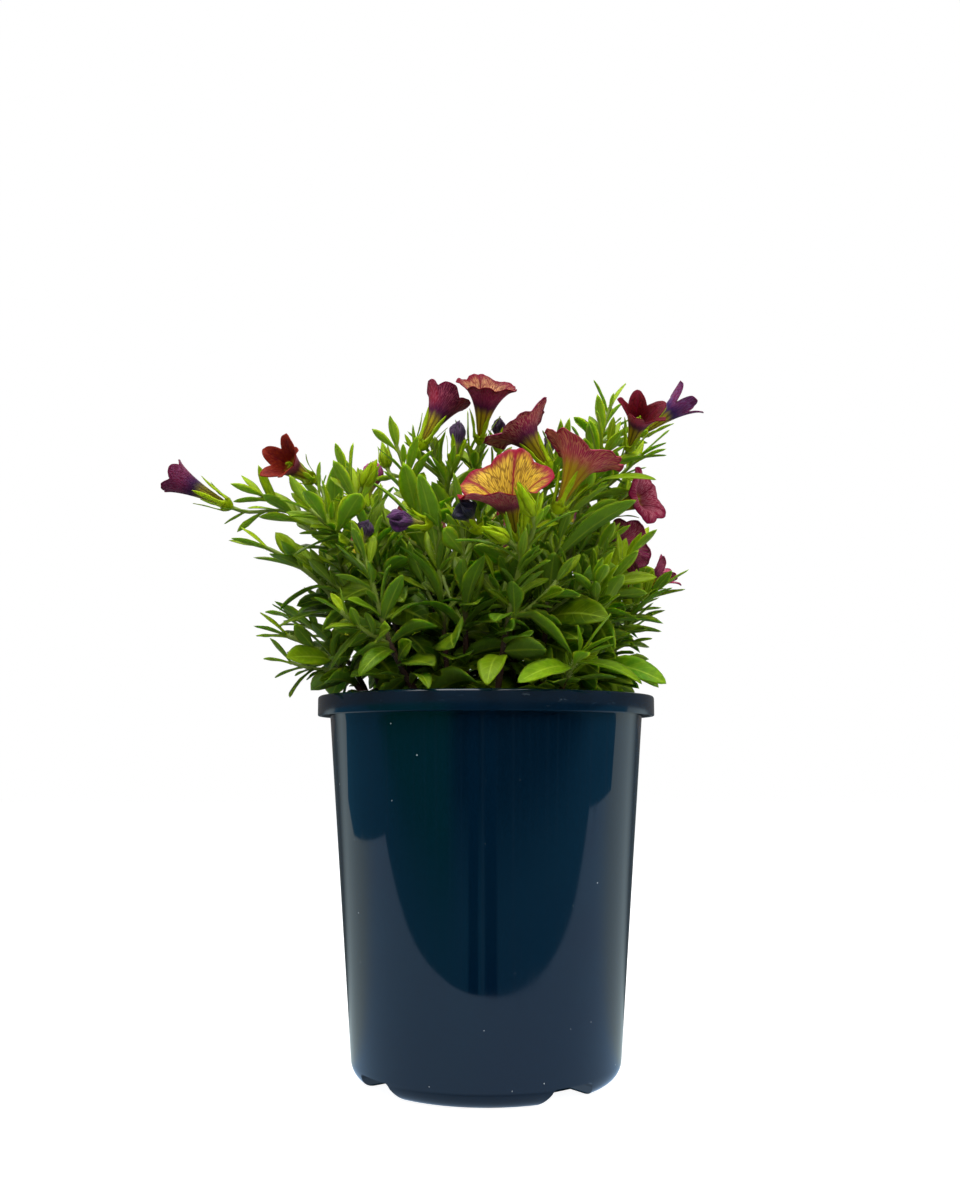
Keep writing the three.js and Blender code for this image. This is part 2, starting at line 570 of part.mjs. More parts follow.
// Grows the whole plant: the axes, buds and leaves of every stem, with nothing in anything else's way.
function growPlant() {
  const space = new Space();
  const stems = STEMS.map((row, owner) => {
    const axis = stemAxis(row);
    return { row, owner, axis, shoots: [], pedicels: [], leaves: [] };
  });
  for (const { axis, owner } of stems) space.hold('stems', axisPoints(axis), owner);
  addFlowers(space, stems);
  for (const row of KEY_LEAVES) {
    const stem = stems[row.stem];
    const leaf = leafTo(stem.axis, row);
    if (claim(space, leaf, stem.owner)) stem.leaves.push(leaf);
  }
  for (const stem of stems) {
    const random = seeded(SEED.first + SEED.step * stem.owner);
    addShoots(space, stem, random);
    stem.places = leafPlaces(stem.axis, 1, STEM.bareLength, random);
    for (const axis of stem.shoots) {
      stem.places.push(...leafPlaces(axis, SHOOT.size, SHOOT.bareLength, random));
    }
  }
  addLeaves(space, stems);
  return stems;
}

// ---- Solids ----------------------------------------------------------------------------------------------

// The faces between rings with the same number of points.
function sideFaces(ringCount, n) {
  const faces = [];
  for (let r = 0; r + 1 < ringCount; r++)
    for (let i = 0; i < n; i++) {
      const [a, b] = [r * n + i, r * n + ((i + 1) % n)];
      faces.push([a, b, b + n], [a, b + n, a + n]);
    }
  return faces;
}

// A closed mesh over rings. An end with a point is a cone to it, and one without is a flat cap.
function skin(rings, startPoint, endPoint) {
  const n = rings[0].length;
  const points = rings.flat();
  const faces = sideFaces(rings.length, n);
  const close = (first, point, flip) => {
    const add = (a, b, c) => faces.push(flip ? [a, c, b] : [a, b, c]);
    if (point) {
      const tip = points.push(point) - 1;
      for (let i = 0; i < n; i++) add(first + i, first + ((i + 1) % n), tip);
    } else for (let i = 1; i + 1 < n; i++) add(first, first + i, first + i + 1);
  };
  close(0, startPoint, true);
  close((rings.length - 1) * n, endPoint, false);
  return solid(points, faces);
}

// A solid from points and faces, turned to face out.
function solid(points, faces) {
  const vertProperties = new Float32Array(points.flatMap((p) => [p.x, p.y, p.z]));
  const volume = faces.reduce((sum, [a, b, c]) => sum + triple(points[a], points[b], points[c]), 0);
  const triVerts = new Uint32Array(volume < 0 ? faces.flatMap(([a, b, c]) => [a, c, b]) : faces.flat());
  return new wasm.Manifold(new wasm.Mesh({ numProp: 3, vertProperties, triVerts }));
}

function triple(a, b, c) {
  return a.dot(new THREE.Vector3().crossVectors(b, c));
}

// A three.js geometry as a solid. Only its positions are kept, so that shared vertices can be merged.
function solidOf(geometry) {
  const bare = geometry.clone();
  bare.deleteAttribute('normal');
  bare.deleteAttribute('uv');
  const merged = mergeVertices(bare, 1e-4);
  const position = merged.attributes.position;
  const pointAt = (_, i) => new THREE.Vector3().fromBufferAttribute(position, i);
  const points = Array.from({ length: position.count }, pointAt);
  const faces = [];
  for (let i = 0; i < merged.index.count; i += 3) {
    const face = [0, 1, 2].map((k) => merged.index.getX(i + k));
    if (new Set(face).size === 3) faces.push(face);
  }
  return solid(points, faces);
}

function geometryOf(manifold) {
  const mesh = manifold.getMesh();
  const geometry = new THREE.BufferGeometry();
  const positions = new Float32Array(mesh.numVert * 3);
  for (let i = 0; i < mesh.numVert; i++)
    positions.set(mesh.vertProperties.subarray(i * mesh.numProp, i * mesh.numProp + 3), 3 * i);
  geometry.setAttribute('position', new THREE.BufferAttribute(positions, 3));
  geometry.setIndex(new THREE.BufferAttribute(new Uint32Array(mesh.triVerts), 1));
  geometry.computeVertexNormals();
  return geometry;
}

// The rings of a tube round an axis, from t = 0 to 1.
function axisRings(axis, sides, steps) {
  return Array.from({ length: steps + 1 }, (_, i) => {
    const { at, across, over } = axis.frame(i / steps);
    const radius = axis.radiusAt(i / steps);
    return ringAngles(sides).map((angle) => at.clone().addScaledVector(around(across, over, angle), radius));
  });
}

// A main stem, with a straight length in its hole under its foot.
function stemSolid(axis) {
  const rings = axisRings(axis, STEM.sides, Math.ceil(axis.length / STEM.step));
  const flat = new THREE.Vector3().crossVectors(UP, axis.side);
  const foot = (drop) =>
    ringAngles(STEM.sides).map((angle) => {
      const out = around(axis.side, flat, angle);
      return axis.curve.v0.clone().addScaledVector(out, STEM.rootRadius).addScaledVector(UP, -drop);
    });
  return skin([foot(HOLE.depth), foot(0), ...rings.slice(1)]);
}

// Where a blade has its cross-sections: more of them on a bigger leaf.
function bladeStations(length) {
  if (length < 16) return [0, 0.55];
  return length < 22 ? [0, 0.42, 0.78] : [0, 0.3, 0.6, 0.85];
}

// A blade with a flat upper face and a keel under its rib. Its root is slim enough to end inside its stem.
function leafSolid(leaf) {
  const half = LEAF.rootWidth / 2;
  const rings = bladeStations(leaf.length).map((s) =>
    s === 0
      ? [inLeaf(leaf, -half, half / 2), inLeaf(leaf, half, half / 2), inLeaf(leaf, 0, -half)]
      : [bladePoint(leaf, s, -1), bladePoint(leaf, s, 1), bladePoint(leaf, s, 0, -LEAF.keel)],
  );
  return skin(rings, null, bladePoint(leaf, 1, 0));
}

// A point across the root of a leaf.
function inLeaf({ root, side, bend }, across, over) {
  return root.clone().addScaledVector(side, across).addScaledVector(bend, -over);
}

// The rings of a flower stalk that widens into a calyx, and the same for a green bud, which ends in a point.
function calyxSolid({ axis, frame, size }) {
  const angles = ringAngles(CALYX.teeth);
  const ring = (height, radius) => angles.map((angle) => inFrame(frame, height, radius, angle));
  const stalk = axisRings(axis, CALYX.teeth, PEDICEL.steps);
  if (!size.shut) return cupSolid(frame, size, [...stalk, ring(CALYX.cup, CALYX.radius)], ring);
  const bud = [ring(0.35 * frame.length, CALYX.radius), ring(0.75 * frame.length, 0.6 * CALYX.radius)];
  return skin([...stalk, ...bud], null, inFrame(frame, frame.length, 0, 0));
}

// A five-sided cup on the given rings, hollow for the corolla's foot, with a pointed tooth on each side.
function cupSolid(frame, size, rings, ring) {
  const sides = CALYX.teeth;
  const points = rings.flat();
  const faces = sideFaces(rings.length, sides);
  for (let i = 1; i + 1 < sides; i++) faces.push([0, i + 1, i]);
  const outer = points.length - sides;
  const inner = points.push(...ring(CALYX.cup, CALYX.radius - CALYX.wall)) - sides;
  const tips = ringAngles(sides).map((angle) =>
    inFrame(frame, CALYX.cup + size.tooth, size.reach, angle + Math.PI / sides),
  );
  const teeth = points.push(...tips) - sides;
  const floor = points.push(inFrame(frame, CALYX.floor, 0, 0)) - 1;
  for (let i = 0; i < sides; i++) {
    const next = (i + 1) % sides;
    faces.push([outer + i, outer + next, teeth + i], [outer + next, inner + next, teeth + i]);
    faces.push([inner + next, inner + i, teeth + i], [inner + i, outer + i, teeth + i]);
    faces.push([inner + i, inner + next, floor]);
  }
  return solid(points, faces);
}

// A coordinate in steps of 0.002.
const roughly = (value) => Math.round(value * 500);

// Fuses solids and drops the small faces along their seams, as far as no two corners end up at one place.
function fuse(pieces) {
  const whole = wasm.Manifold.union(pieces).asOriginal();
  return FUSE.map((tolerance) => whole.simplify(tolerance)).find((manifold) => {
    const { vertProperties, numProp, numVert } = manifold.getMesh();
    const placeOf = (_, i) => vertProperties.slice(i * numProp, i * numProp + 3).map(roughly).join();
    return new Set(Array.from({ length: numVert }, placeOf)).size === numVert;
  });
}

function leafyStemSolid(stem) {
  const pieces = [
    stemSolid(stem.axis),
    ...stem.shoots.map((axis) => skin(axisRings(axis, SHOOT.sides, SHOOT.steps))),
    ...stem.pedicels.map(calyxSolid),
    ...stem.leaves.map(leafSolid),
  ];
  return fuse(pieces);
}

// The corolla: a thin trumpet, its lobes cut into the limb, with a cone at its foot that sits in the calyx.
function corollaSolid(bloom) {
  const frame = bloomFrame(bloom);
  const angles = ringAngles(COROLLA.columns);
  const row = (v, inset) => angles.map((angle) => corollaPoint(bloom, frame, v, angle, inset));
  const outer = [0, 0.4, 0.72, 1].map((v) => row(v, 0));
  const inner = [1, 0.76].map((v) => row(v, COROLLA.wall));
  const [, throat] = corollaProfile(bloom, frame, 0.45);
  return skin([...outer, ...inner], inFrame(frame, COROLLA.foot, 0, 0), inFrame(frame, throat, 0, 0));
}

function fadedSolid(bloom) {
  const frame = bloomFrame(bloom);
  const row = (v) => ringAngles(6).map((angle) => fadedPoint(bloom, frame, v, angle));
  const rings = [0, 0.45, 0.7, 0.9].map(row);
  return skin(rings, inFrame(frame, COROLLA.foot, 0, 0), inFrame(frame, frame.length, 0, 0));
}

// ---- The pot and the mix ---------------------------------------------------------------------------------

// The wall's outer radius at a height, on the plain cone above the rounded foot.
const wallRadius = (z) => mix(POT.bodyBottomRadius, POT.bodyTopRadius, z / POT.height);
const NOTCHES = [...Array(NOTCH.count).keys()];

// A quarter-round about a centre, in degrees, as points of a lathe profile.
function corner(centreR, centreZ, radius, fromDeg, toDeg, steps) {
  return Array.from({ length: steps + 1 }, (_, i) => {
    const angle = radians(mix(fromDeg, toDeg, i / steps));
    return new THREE.Vector2(centreR + radius * Math.cos(angle), centreZ + radius * Math.sin(angle));
  });
}

// The rounded foot of the pot, moved in by `inset` and kept above `floor`.
function footCurve(inset, floor, steps) {
  const centre = wallRadius(POT.footCorner) - POT.footCorner;
  const curve = corner(centre, POT.footCorner, POT.footCorner - inset, -90, 0, steps);
  return curve.map((point) => point.setY(Math.max(point.y, floor)));
}

function lathe(profile) {
  return solidOf(new THREE.LatheGeometry(profile, POT.sides)).rotate([90, 0, 0]);
}

// The pot's outside as if it were solid: the round foot, the cone, and the rim with its skirt.
function potOutside() {
  const { height, rimRadius, rimHeight, rimCorner, wall } = POT;
  const skirtRadius = rimRadius - wall;
  const underRim = height - rimHeight;
  return lathe([
    new THREE.Vector2(0, 0),
    ...footCurve(0, 0, 3),
    new THREE.Vector2(wallRadius(underRim - 3), underRim - 3),
    new THREE.Vector2(wallRadius(height - wall), height - wall),
    new THREE.Vector2(skirtRadius, height - wall),
    new THREE.Vector2(skirtRadius, underRim),
    new THREE.Vector2(rimRadius, underRim),
    ...corner(rimRadius - rimCorner, height - rimCorner, rimCorner, 0, 90, 1),
    new THREE.Vector2(0, height),
  ]);
}

// The hollow that holds the mix.
function potInside() {
  const { height, wall, floor } = POT;
  return lathe([
    new THREE.Vector2(0, floor),
    ...footCurve(wall, floor, 2),
    new THREE.Vector2(wallRadius(height) - wall, height + 1),
    new THREE.Vector2(0, height + 1),
  ]);
}

// The bar that a drain recess takes out of the foot, grown by `grow` on every side for the wall round it.
function notchSolid(index, grow) {
  const turn = radians(NOTCH.firstDeg + (360 / NOTCH.count) * index);
  const [low, high] = [NOTCH.bottomWidth / 2 + grow, NOTCH.topWidth / 2 + grow];
  const below = grow ? -grow : -1;
  const outline = new THREE.Shape();
  outline.moveTo(-low, below);
  outline.lineTo(low, below);
  outline.lineTo(high, NOTCH.height + grow);
  outline.lineTo(-high, NOTCH.height + grow);
  outline.closePath();
  const start = NOTCH.innerRadius - grow;
  const bar = new THREE.ExtrudeGeometry(outline, { depth: POT.rimRadius - start, bevelEnabled: false });
  bar.translate(0, 0, start);
  // The extrusion runs out along its own z: stand its outline up and turn it out from the pot's axis.
  bar.rotateX(Math.PI / 2);
  bar.rotateZ(turn);
  return solidOf(bar);
}

// The drain slot through the ceiling of a recess.
function drainSolid(index) {
  const turn = radians(NOTCH.firstDeg + (360 / NOTCH.count) * index);
  const slot = new THREE.BoxGeometry(DRAIN.length, DRAIN.width, DRAIN.height);
  slot.translate(0, -DRAIN.radius, NOTCH.height + DRAIN.height / 5);
  slot.rotateZ(turn);
  return solidOf(slot);
}

function potSolid() {
  const hollow = NOTCHES.reduce((rest, i) => rest.subtract(notchSolid(i, POT.wall)), potInside());
  const cut = (pot, i) => pot.subtract(notchSolid(i, 0)).subtract(drainSolid(i));
  const pot = NOTCHES.reduce(cut, potOutside().subtract(hollow));
  return pot.asOriginal().simplify(SMOOTH);
}

// The height of the mix: a low dome with lumps.
function soilHeight(x, y) {
  const inner = wallRadius(SOIL.top) - POT.wall - GAP;
  const dome = SOIL.dome * (1 - (x * x + y * y) / (inner * inner));
  return SOIL.top + dome + SOIL.relief * Math.sin(0.31 * x + 1.1) * Math.cos(0.27 * y - 0.4);
}

// A ring of the mix. It follows the surface if it has no height of its own.
function soilRing(radius, z) {
  return ringAngles(SOIL.sides).map((angle) => {
    const [x, y] = [radius * Math.cos(angle), radius * Math.sin(angle)];
    return new THREE.Vector3(x, y, z ?? soilHeight(x, y));
  });
}

// The hole in the mix that a stem stands in.
function holeSolid({ root: [x, y] }) {
  const hole = new THREE.CylinderGeometry(HOLE.radius, HOLE.radius, HOLE.depth + HOLE.above, HOLE.sides);
  hole.rotateX(Math.PI / 2);
  hole.translate(x, y, SOIL.top + STEM.foot + (HOLE.above - HOLE.depth) / 2 - GAP);
  return solidOf(hole);
}

// The mix fills the pot, clear of its wall, its floor and the recesses in its foot.
function soilSolid() {
  const slack = POT.wall + GAP;
  const bottom = POT.floor + GAP;
  const rim = wallRadius(SOIL.top) - slack;
  const under = footCurve(slack, bottom, 2).map((point) => soilRing(point.x, point.y));
  const over = Array.from({ length: SOIL.rings }, (_, k) => soilRing(rim * (1 - k / SOIL.rings)));
  const centre = new THREE.Vector3(0, 0, soilHeight(0, 0));
  const full = skin([...under, ...over], new THREE.Vector3(0, 0, bottom), centre);
  const clear = NOTCHES.reduce((rest, i) => rest.subtract(notchSolid(i, slack)), full);
  const holes = wasm.Manifold.union(STEMS.map(holeSolid));
  return clear.subtract(holes).asOriginal().simplify(SMOOTH);
}

// ---- The part --------------------------------------------------------------------------------------------

const FINISH = {
  pot: { color: 0x0a2236, roughness: 0.22, metalness: 0 },
  mix: { color: 0x2a1b12, roughness: 1, metalness: 0 },
  green: { color: 0x5d7d16, roughness: 0.6, metalness: 0 },
  petal: { color: 0x7a1f3d, roughness: 0.7, metalness: 0 },
  faded: { color: 0x2c1d45, roughness: 0.8, metalness: 0 },
};

const part = new THREE.Group();

function addNode(name, manifold, finish) {
  const mesh = new THREE.Mesh(geometryOf(manifold), new THREE.MeshStandardMaterial(finish));
  mesh.name = name;
  part.add(mesh);
}

const numbered = (name, index) => `${name}_${String(index + 1).padStart(2, '0')}`;

addNode('nursery_pot', potSolid(), FINISH.pot);
addNode('potting_mix', soilSolid(), FINISH.mix);
growPlant().forEach((stem, i) => addNode(numbered('leafy_stem', i), leafyStemSolid(stem), FINISH.green));
BLOOMS.forEach((bloom, i) => addNode(numbered('bloom', i), corollaSolid(bloom), FINISH.petal));
FADED.forEach((bloom, i) => addNode(numbered('faded_bloom', i), fadedSolid(bloom), FINISH.faded));

export default part;
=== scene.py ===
"""Dresses a calibrachoa in its nursery pot: the pot, its mix, the leafy stems, the blooms and the studio.

Shapes are worked out in millimetres with numpy, +Z up, origin at the centre of the pot's underside, and are
put into meshes in metres. The plant's best side faces -Y.
"""

import logging
import math
from collections.abc import Callable
from dataclasses import dataclass, field, replace
from enum import Enum
from typing import ClassVar

import bpy
import numpy as np
from mathutils import Euler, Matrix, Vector

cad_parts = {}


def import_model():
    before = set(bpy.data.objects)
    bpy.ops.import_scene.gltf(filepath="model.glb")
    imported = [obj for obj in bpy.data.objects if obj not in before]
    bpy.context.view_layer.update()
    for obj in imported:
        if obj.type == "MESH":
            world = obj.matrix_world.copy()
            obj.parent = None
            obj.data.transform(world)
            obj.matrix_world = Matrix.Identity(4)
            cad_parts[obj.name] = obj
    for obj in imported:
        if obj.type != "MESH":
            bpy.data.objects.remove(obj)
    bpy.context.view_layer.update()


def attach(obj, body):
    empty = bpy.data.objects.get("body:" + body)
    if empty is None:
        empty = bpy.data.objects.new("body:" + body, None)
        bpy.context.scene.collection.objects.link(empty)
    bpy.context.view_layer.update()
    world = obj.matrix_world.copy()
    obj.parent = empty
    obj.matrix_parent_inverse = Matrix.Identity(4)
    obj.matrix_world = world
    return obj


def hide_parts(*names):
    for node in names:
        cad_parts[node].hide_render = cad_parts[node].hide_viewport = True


LOG = logging.getLogger("calibrachoa")
Array = np.ndarray
Sockets = dict[str, str]
Tree = bpy.types.NodeTree
Colour = str | tuple[float, float, float]
Pair = tuple[float, float]
Point = tuple[float, float, float]
Socket = bpy.types.NodeSocket
MM = 0.001
GAMMA = 2.2
FULL_TURN = 2 * math.pi
UP = np.array([0.0, 0.0, 1.0])
BODY = "root"


# ---- Numbers and directions ----


def mix(a: float, b: float, t: float) -> float:
    """The value at the share t of the way from a to b."""
    return a + (b - a) * t


def unit(v: Array) -> Array:
    """v divided by its length, along the last axis."""
    return v / np.linalg.norm(v, axis=-1, keepdims=True)


def spread(values: Array | float) -> Array:
    """The values with one more axis, to scale directions with."""
    return np.asarray(values, float)[..., None]


def around(x: Array, y: Array, angle: Array | float) -> Array:
    """The direction at an angle from x towards y: x times the cosine plus y times the sine."""
    return x * spread(np.cos(angle)) + y * spread(np.sin(angle))


def circle(count: int, start: float = 0.0) -> Array:
    """Even angles round a circle, from a start that is counted in steps."""
    return (np.arange(count) + start) * 2 * np.pi / count


def tint(code: str) -> tuple[float, float, float]:
    """The linear colour of a six-digit web colour: each channel over 255, to the power 2.2."""
    return tuple((int(code[i : i + 2], 16) / 255) ** GAMMA for i in (0, 2, 4))


def lumps(x: Array, y: Array, cell: float, seed: int, table_size: int = 96) -> Array:
    """Smooth random heights from -1 to 1 over a plane.

    A table of random heights stands at the corners of square cells, and repeats. Between the corners the
    height is blended along x and y by the share 3 t^2 - 2 t^3.

    Args:
        x: Places along x.
        y: Places along y.
        cell: The edge of a cell.
        seed: The seed of the table.
        table_size: The cells along each side of the table.

    Returns:
        The heights, in the shape of x.
    """
    table = np.random.default_rng(seed).uniform(-1, 1, (table_size + 1, table_size + 1))
    i, j = np.floor(x / cell), np.floor(y / cell)
    s, t = x / cell - i, y / cell - j
    s, t = s * s * (3 - 2 * s), t * t * (3 - 2 * t)
    i, j = i.astype(int) % table_size, j.astype(int) % table_size
    low = table[i, j] * (1 - s) + table[i + 1, j] * s
    high = table[i, j + 1] * (1 - s) + table[i + 1, j + 1] * s
    return low * (1 - t) + high * t


class Draws:
    """Numbers from 0 to 1, the same ones for one seed: each state is the last times factor, modulo prime."""

    factor = 48271
    prime = 2**31 - 1

    def __init__(self, seed: int) -> None:
        """Starts at the seed."""
        self.state = seed

    def one(self) -> float:
        """The next number."""
        self.state = self.state * self.factor % self.prime
        return self.state / self.prime

    def between(self, low: float, high: float) -> float:
        """The next number, spread over low to high."""
        return mix(low, high, self.one())


# ---- Finishes ----


class Net:
    """Places nodes in a tree and wires them.

    A value is a number, a linear colour, a six-digit web colour or another node's output.
    """

    def __init__(self, tree: Tree) -> None:
        """Keeps the tree that the nodes go into."""
        self.tree = tree

    def feed(self, socket: Socket, value: object) -> None:
        """Links an output to the socket, or sets the socket's own number or colour."""
        if isinstance(value, bpy.types.NodeSocket):
            self.tree.links.new(value, socket)
        elif isinstance(value, str):
            socket.default_value = (*tint(value), 1.0)
        elif socket.type == "RGBA" and len(value) == 3:
            socket.default_value = (*value, 1.0)
        else:
            socket.default_value = value

    def add(self, kind: str, values: dict | None = None, **settings: object) -> bpy.types.Node:
        """Adds a node.

        Args:
            kind: The node's type.
            values: What goes into its inputs, by name or index.
            settings: The node's own properties, which are set first.

        Returns:
            The node.
        """
        node = self.tree.nodes.new(kind)
        for name, setting in settings.items():
            setattr(node, name, setting)
        for key, value in (values or {}).items():
            self.feed(node.inputs[key], value)
        return node

    def math(self, operation: str, *values: object, clamp: bool = False) -> Socket:
        """The output of a Math node."""
        node = self.add("ShaderNodeMath", dict(enumerate(values)), operation=operation, use_clamp=clamp)
        return node.outputs[0]

    def times(self, a: object, b: object) -> Socket:
        """The product of two values."""
        return self.math("MULTIPLY", a, b)

    def parts(self, vector: Socket) -> bpy.types.NodeOutputs:
        """The three parts of a vector."""
        return self.add("ShaderNodeSeparateXYZ", {0: vector}).outputs

    def blend(self, share: object, a: object, b: object) -> Socket:
        """Colour a with the share of colour b laid over it."""
        return self.add("ShaderNodeMix", {0: share, 6: a, 7: b}, data_type="RGBA").outputs[2]

    def over(self, mask: Socket, amount: float, a: object, b: object) -> Socket:
        """Colour a with colour b laid over it, at up to the amount, where the mask is."""
        return self.blend(self.times(mask, amount), a, b)

    def ramp(self, value: object, start: float, end: float, low: float = 0.0, high: float = 1.0) -> Socket:
        """The value led smoothly from low at start to high at end."""
        values = {0: value, 1: start, 2: end, 3: low, 4: high}
        return self.add("ShaderNodeMapRange", values, interpolation_type="SMOOTHSTEP").outputs[0]

    def mark(self, name: str, output: str = "Fac") -> Socket:
        """A point attribute of the mesh."""
        return self.add("ShaderNodeAttribute", attribute_name=name).outputs[output]

    def place(self) -> Socket:
        """The Object coordinates, in metres."""
        return self.add("ShaderNodeTexCoord").outputs["Object"]

    def stretched(self, vector: Socket, x: float, y: float, z: float) -> Socket:
        """A vector with each of its parts scaled."""
        return self.add("ShaderNodeMapping", {"Vector": vector, "Scale": (x, y, z)}).outputs[0]

    def noise(self, vector: Socket, scale: object, detail: float = 3.0, rough: float = 0.55) -> Socket:
        """The height of a noise texture."""
        values = {"Vector": vector, "Scale": scale, "Detail": detail, "Roughness": rough}
        return self.add("ShaderNodeTexNoise", values).outputs[0]

    def shade(self, **values: object) -> None:
        """Feeds the material's Principled shader, by socket name with _ for a space."""
        shader = self.tree.nodes["Principled BSDF"]
        for name, value in values.items():
            self.feed(shader.inputs[name.replace("_", " ")], value)

    def relief(self, height: object, strength: float, depth: float) -> None:
        """Leads a height, in metres once times depth, through a Bump node to the shader's normal."""
        values = {"Height": height, "Strength": strength, "Distance": depth}
        self.shade(Normal=self.add("ShaderNodeBump", values).outputs["Normal"])


@dataclass(frozen=True)
class Finish:
    """A named look. Each kind of finish wires nodes of its own."""

    name: str
    built: ClassVar[dict[str, bpy.types.Material]] = {}

    def wire(self, net: Net) -> None:
        """Places the finish's nodes and feeds the shader."""
        raise NotImplementedError

    def material(self) -> bpy.types.Material:
        """The finish's material, built the first time that it is asked for."""
        if self.name not in self.built:
            material = bpy.data.materials.new(self.name)
            material.use_nodes = True
            self.wire(Net(material.node_tree))
            self.built[self.name] = material
        return self.built[self.name]


class Effects:
    """The node groups that more than one material uses, each built once."""

    built: ClassVar[dict[str, Tree]] = {}

    @classmethod
    def group(cls, name: str, takes: Sockets, gives: Sockets, wire: Callable) -> Tree:
        """Builds a node group, or returns the one that is there.

        Args:
            name: The group's name.
            takes: Its inputs, name to socket kind.
            gives: Its outputs, name to socket kind.
            wire: Takes the net and the inputs by name, and returns what goes to the outputs by name.

        Returns:
            The group's node tree.
        """
        if name not in cls.built:
            tree = bpy.data.node_groups.new(name, "ShaderNodeTree")
            for way, sockets in (("INPUT", takes), ("OUTPUT", gives)):
                for socket, kind in sockets.items():
                    tree.interface.new_socket(socket, in_out=way, socket_type=f"NodeSocket{kind}")
            net = Net(tree)
            inputs = net.add("NodeGroupInput").outputs
            outputs = net.add("NodeGroupOutput").inputs
            for socket, value in wire(net, inputs).items():
                net.feed(outputs[socket], value)
            cls.built[name] = tree
        return cls.built[name]

    @classmethod
    def mottle(cls, net: Net, colour: object, other: object, scale: float, amount: float) -> Socket:
        """A colour with soft patches of another one, laid on at up to the amount."""

        def wire(inner: Net, given: dict) -> dict:
            """The share is the noise led from 0.38 to 0.68, times the amount."""
            patches = inner.noise(given["Place"], given["Scale"])
            share = inner.times(inner.ramp(patches, 0.38, 0.68), given["Amount"])
            return {"Color": inner.blend(share, given["Color"], given["Other"])}

        takes = {"Color": "Color", "Other": "Color", "Place": "Vector", "Scale": "Float", "Amount": "Float"}
        tree = cls.group("Mottle", takes, {"Color": "Color"}, wire)
        values = {"Color": colour, "Other": other, "Place": net.place(), "Scale": scale, "Amount": amount}
        return net.add("ShaderNodeGroup", values, node_tree=tree).outputs["Color"]

    @classmethod
    def petal_net(cls, net: Net, flow: Socket, fine: float) -> tuple[Socket, Socket]:
        """The masks of a petal's net of veins and of its straight veins, from its flow mark."""

        def wire(inner: Net, given: dict) -> dict:
            """The net is the edges of stretched cells. The straight veins are waves round the tube, bent a
            little by noise."""
            cells = inner.stretched(given["Flow"], 1.0, 1.0, 0.42)
            values = {"Vector": cells, "Scale": given["Fine"]}
            edges = inner.add("ShaderNodeTexVoronoi", values, feature="DISTANCE_TO_EDGE").outputs["Distance"]
            parts = inner.parts(given["Flow"])
            turn = inner.math("ARCTAN2", parts[1], parts[0])
            stray = inner.noise(given["Flow"], 3.5, 2.0)
            turn = inner.math("MULTIPLY_ADD", stray, 0.5, turn)
            lines = inner.math("ABSOLUTE", inner.math("SINE", inner.times(turn, 28.0)))
            return {"Net": inner.ramp(edges, 0.18, 0.02), "Lines": inner.ramp(lines, 0.4, 0.0)}

        takes, gives = {"Flow": "Vector", "Fine": "Float"}, {"Net": "Float", "Lines": "Float"}
        tree = cls.group("Petal net", takes, gives, wire)
        node = net.add("ShaderNodeGroup", {"Flow": flow, "Fine": fine}, node_tree=tree)
        return node.outputs["Net"], node.outputs["Lines"]


@dataclass(frozen=True)
class LeafFinish(Finish):
    """Satin leaves: yellow-green when young, darker when old, with a pale rib, a grey-green underside and
    painted shade.
    """

    name: str = "leaf"
    young: Colour = "9ab212"
    old: Colour = "4e8016"
    # The colour of the painted shade, which the fine patches also darken towards.
    dark: Colour = "123204"
    rib: Colour = "9fb838"
    under: Colour = "6a8a34"
    sheen: Colour = (0.7, 0.9, 0.15)
    glow: Colour = (0.6, 1.0, 0.1)
    roughness: float = 0.46
    vein_pairs: float = 8.0

    def ribs(self, net: Net) -> tuple[Socket, Socket]:
        """The masks of the midrib, which narrows along the blade, and of the side veins. These are where the
        pairs times the share along, less 1.6 times the distance across, is near a whole number."""
        off, along = net.math("ABSOLUTE", net.mark("across")), net.mark("along")
        width = net.math("MULTIPLY_ADD", along, -0.13, 0.19)
        rib = net.math("SUBTRACT", 1.0, net.math("DIVIDE", off, width), clamp=True)
        phase = net.math("SUBTRACT", net.times(along, self.vein_pairs), net.times(off, 1.6))
        veins = net.ramp(net.math("PINGPONG", phase, 0.5), 0.1, 0.0)
        return rib, net.times(veins, net.ramp(off, 0.95, 0.5))

    def wire(self, net: Net) -> None:
        """The colour goes from young to old by age, darkens with painted shade and in patches, and pales on
        the rib and below.
        """
        net.shade(
            Roughness=self.roughness, Subsurface_Weight=0.35, Subsurface_Scale=0.0015,
            Subsurface_Radius=self.glow, Specular_IOR_Level=0.32, Specular_Tint=self.sheen,
        )
        rib, veins = self.ribs(net)
        colour = net.blend(net.mark("age"), self.young, self.old)
        # Painted shade: the tone mark holds a random tone plus the plant's painted shade, and darkens the
        # colour towards dark.
        colour = net.over(net.mark("tone"), 0.92, colour, self.dark)
        colour = Effects.mottle(net, colour, self.young, 90.0, 0.25)
        colour = Effects.mottle(net, colour, self.dark, 420.0, 0.25)
        colour = net.over(veins, 0.16, colour, self.rib)
        colour = net.over(net.mark("under"), 0.55, colour, self.under)
        net.shade(Base_Color=net.over(rib, 0.5, colour, self.rib))
        grain = net.times(net.noise(net.place(), 500.0), 0.3)
        net.relief(net.math("MULTIPLY_ADD", veins, -0.5, grain), 0.35, 0.0002)


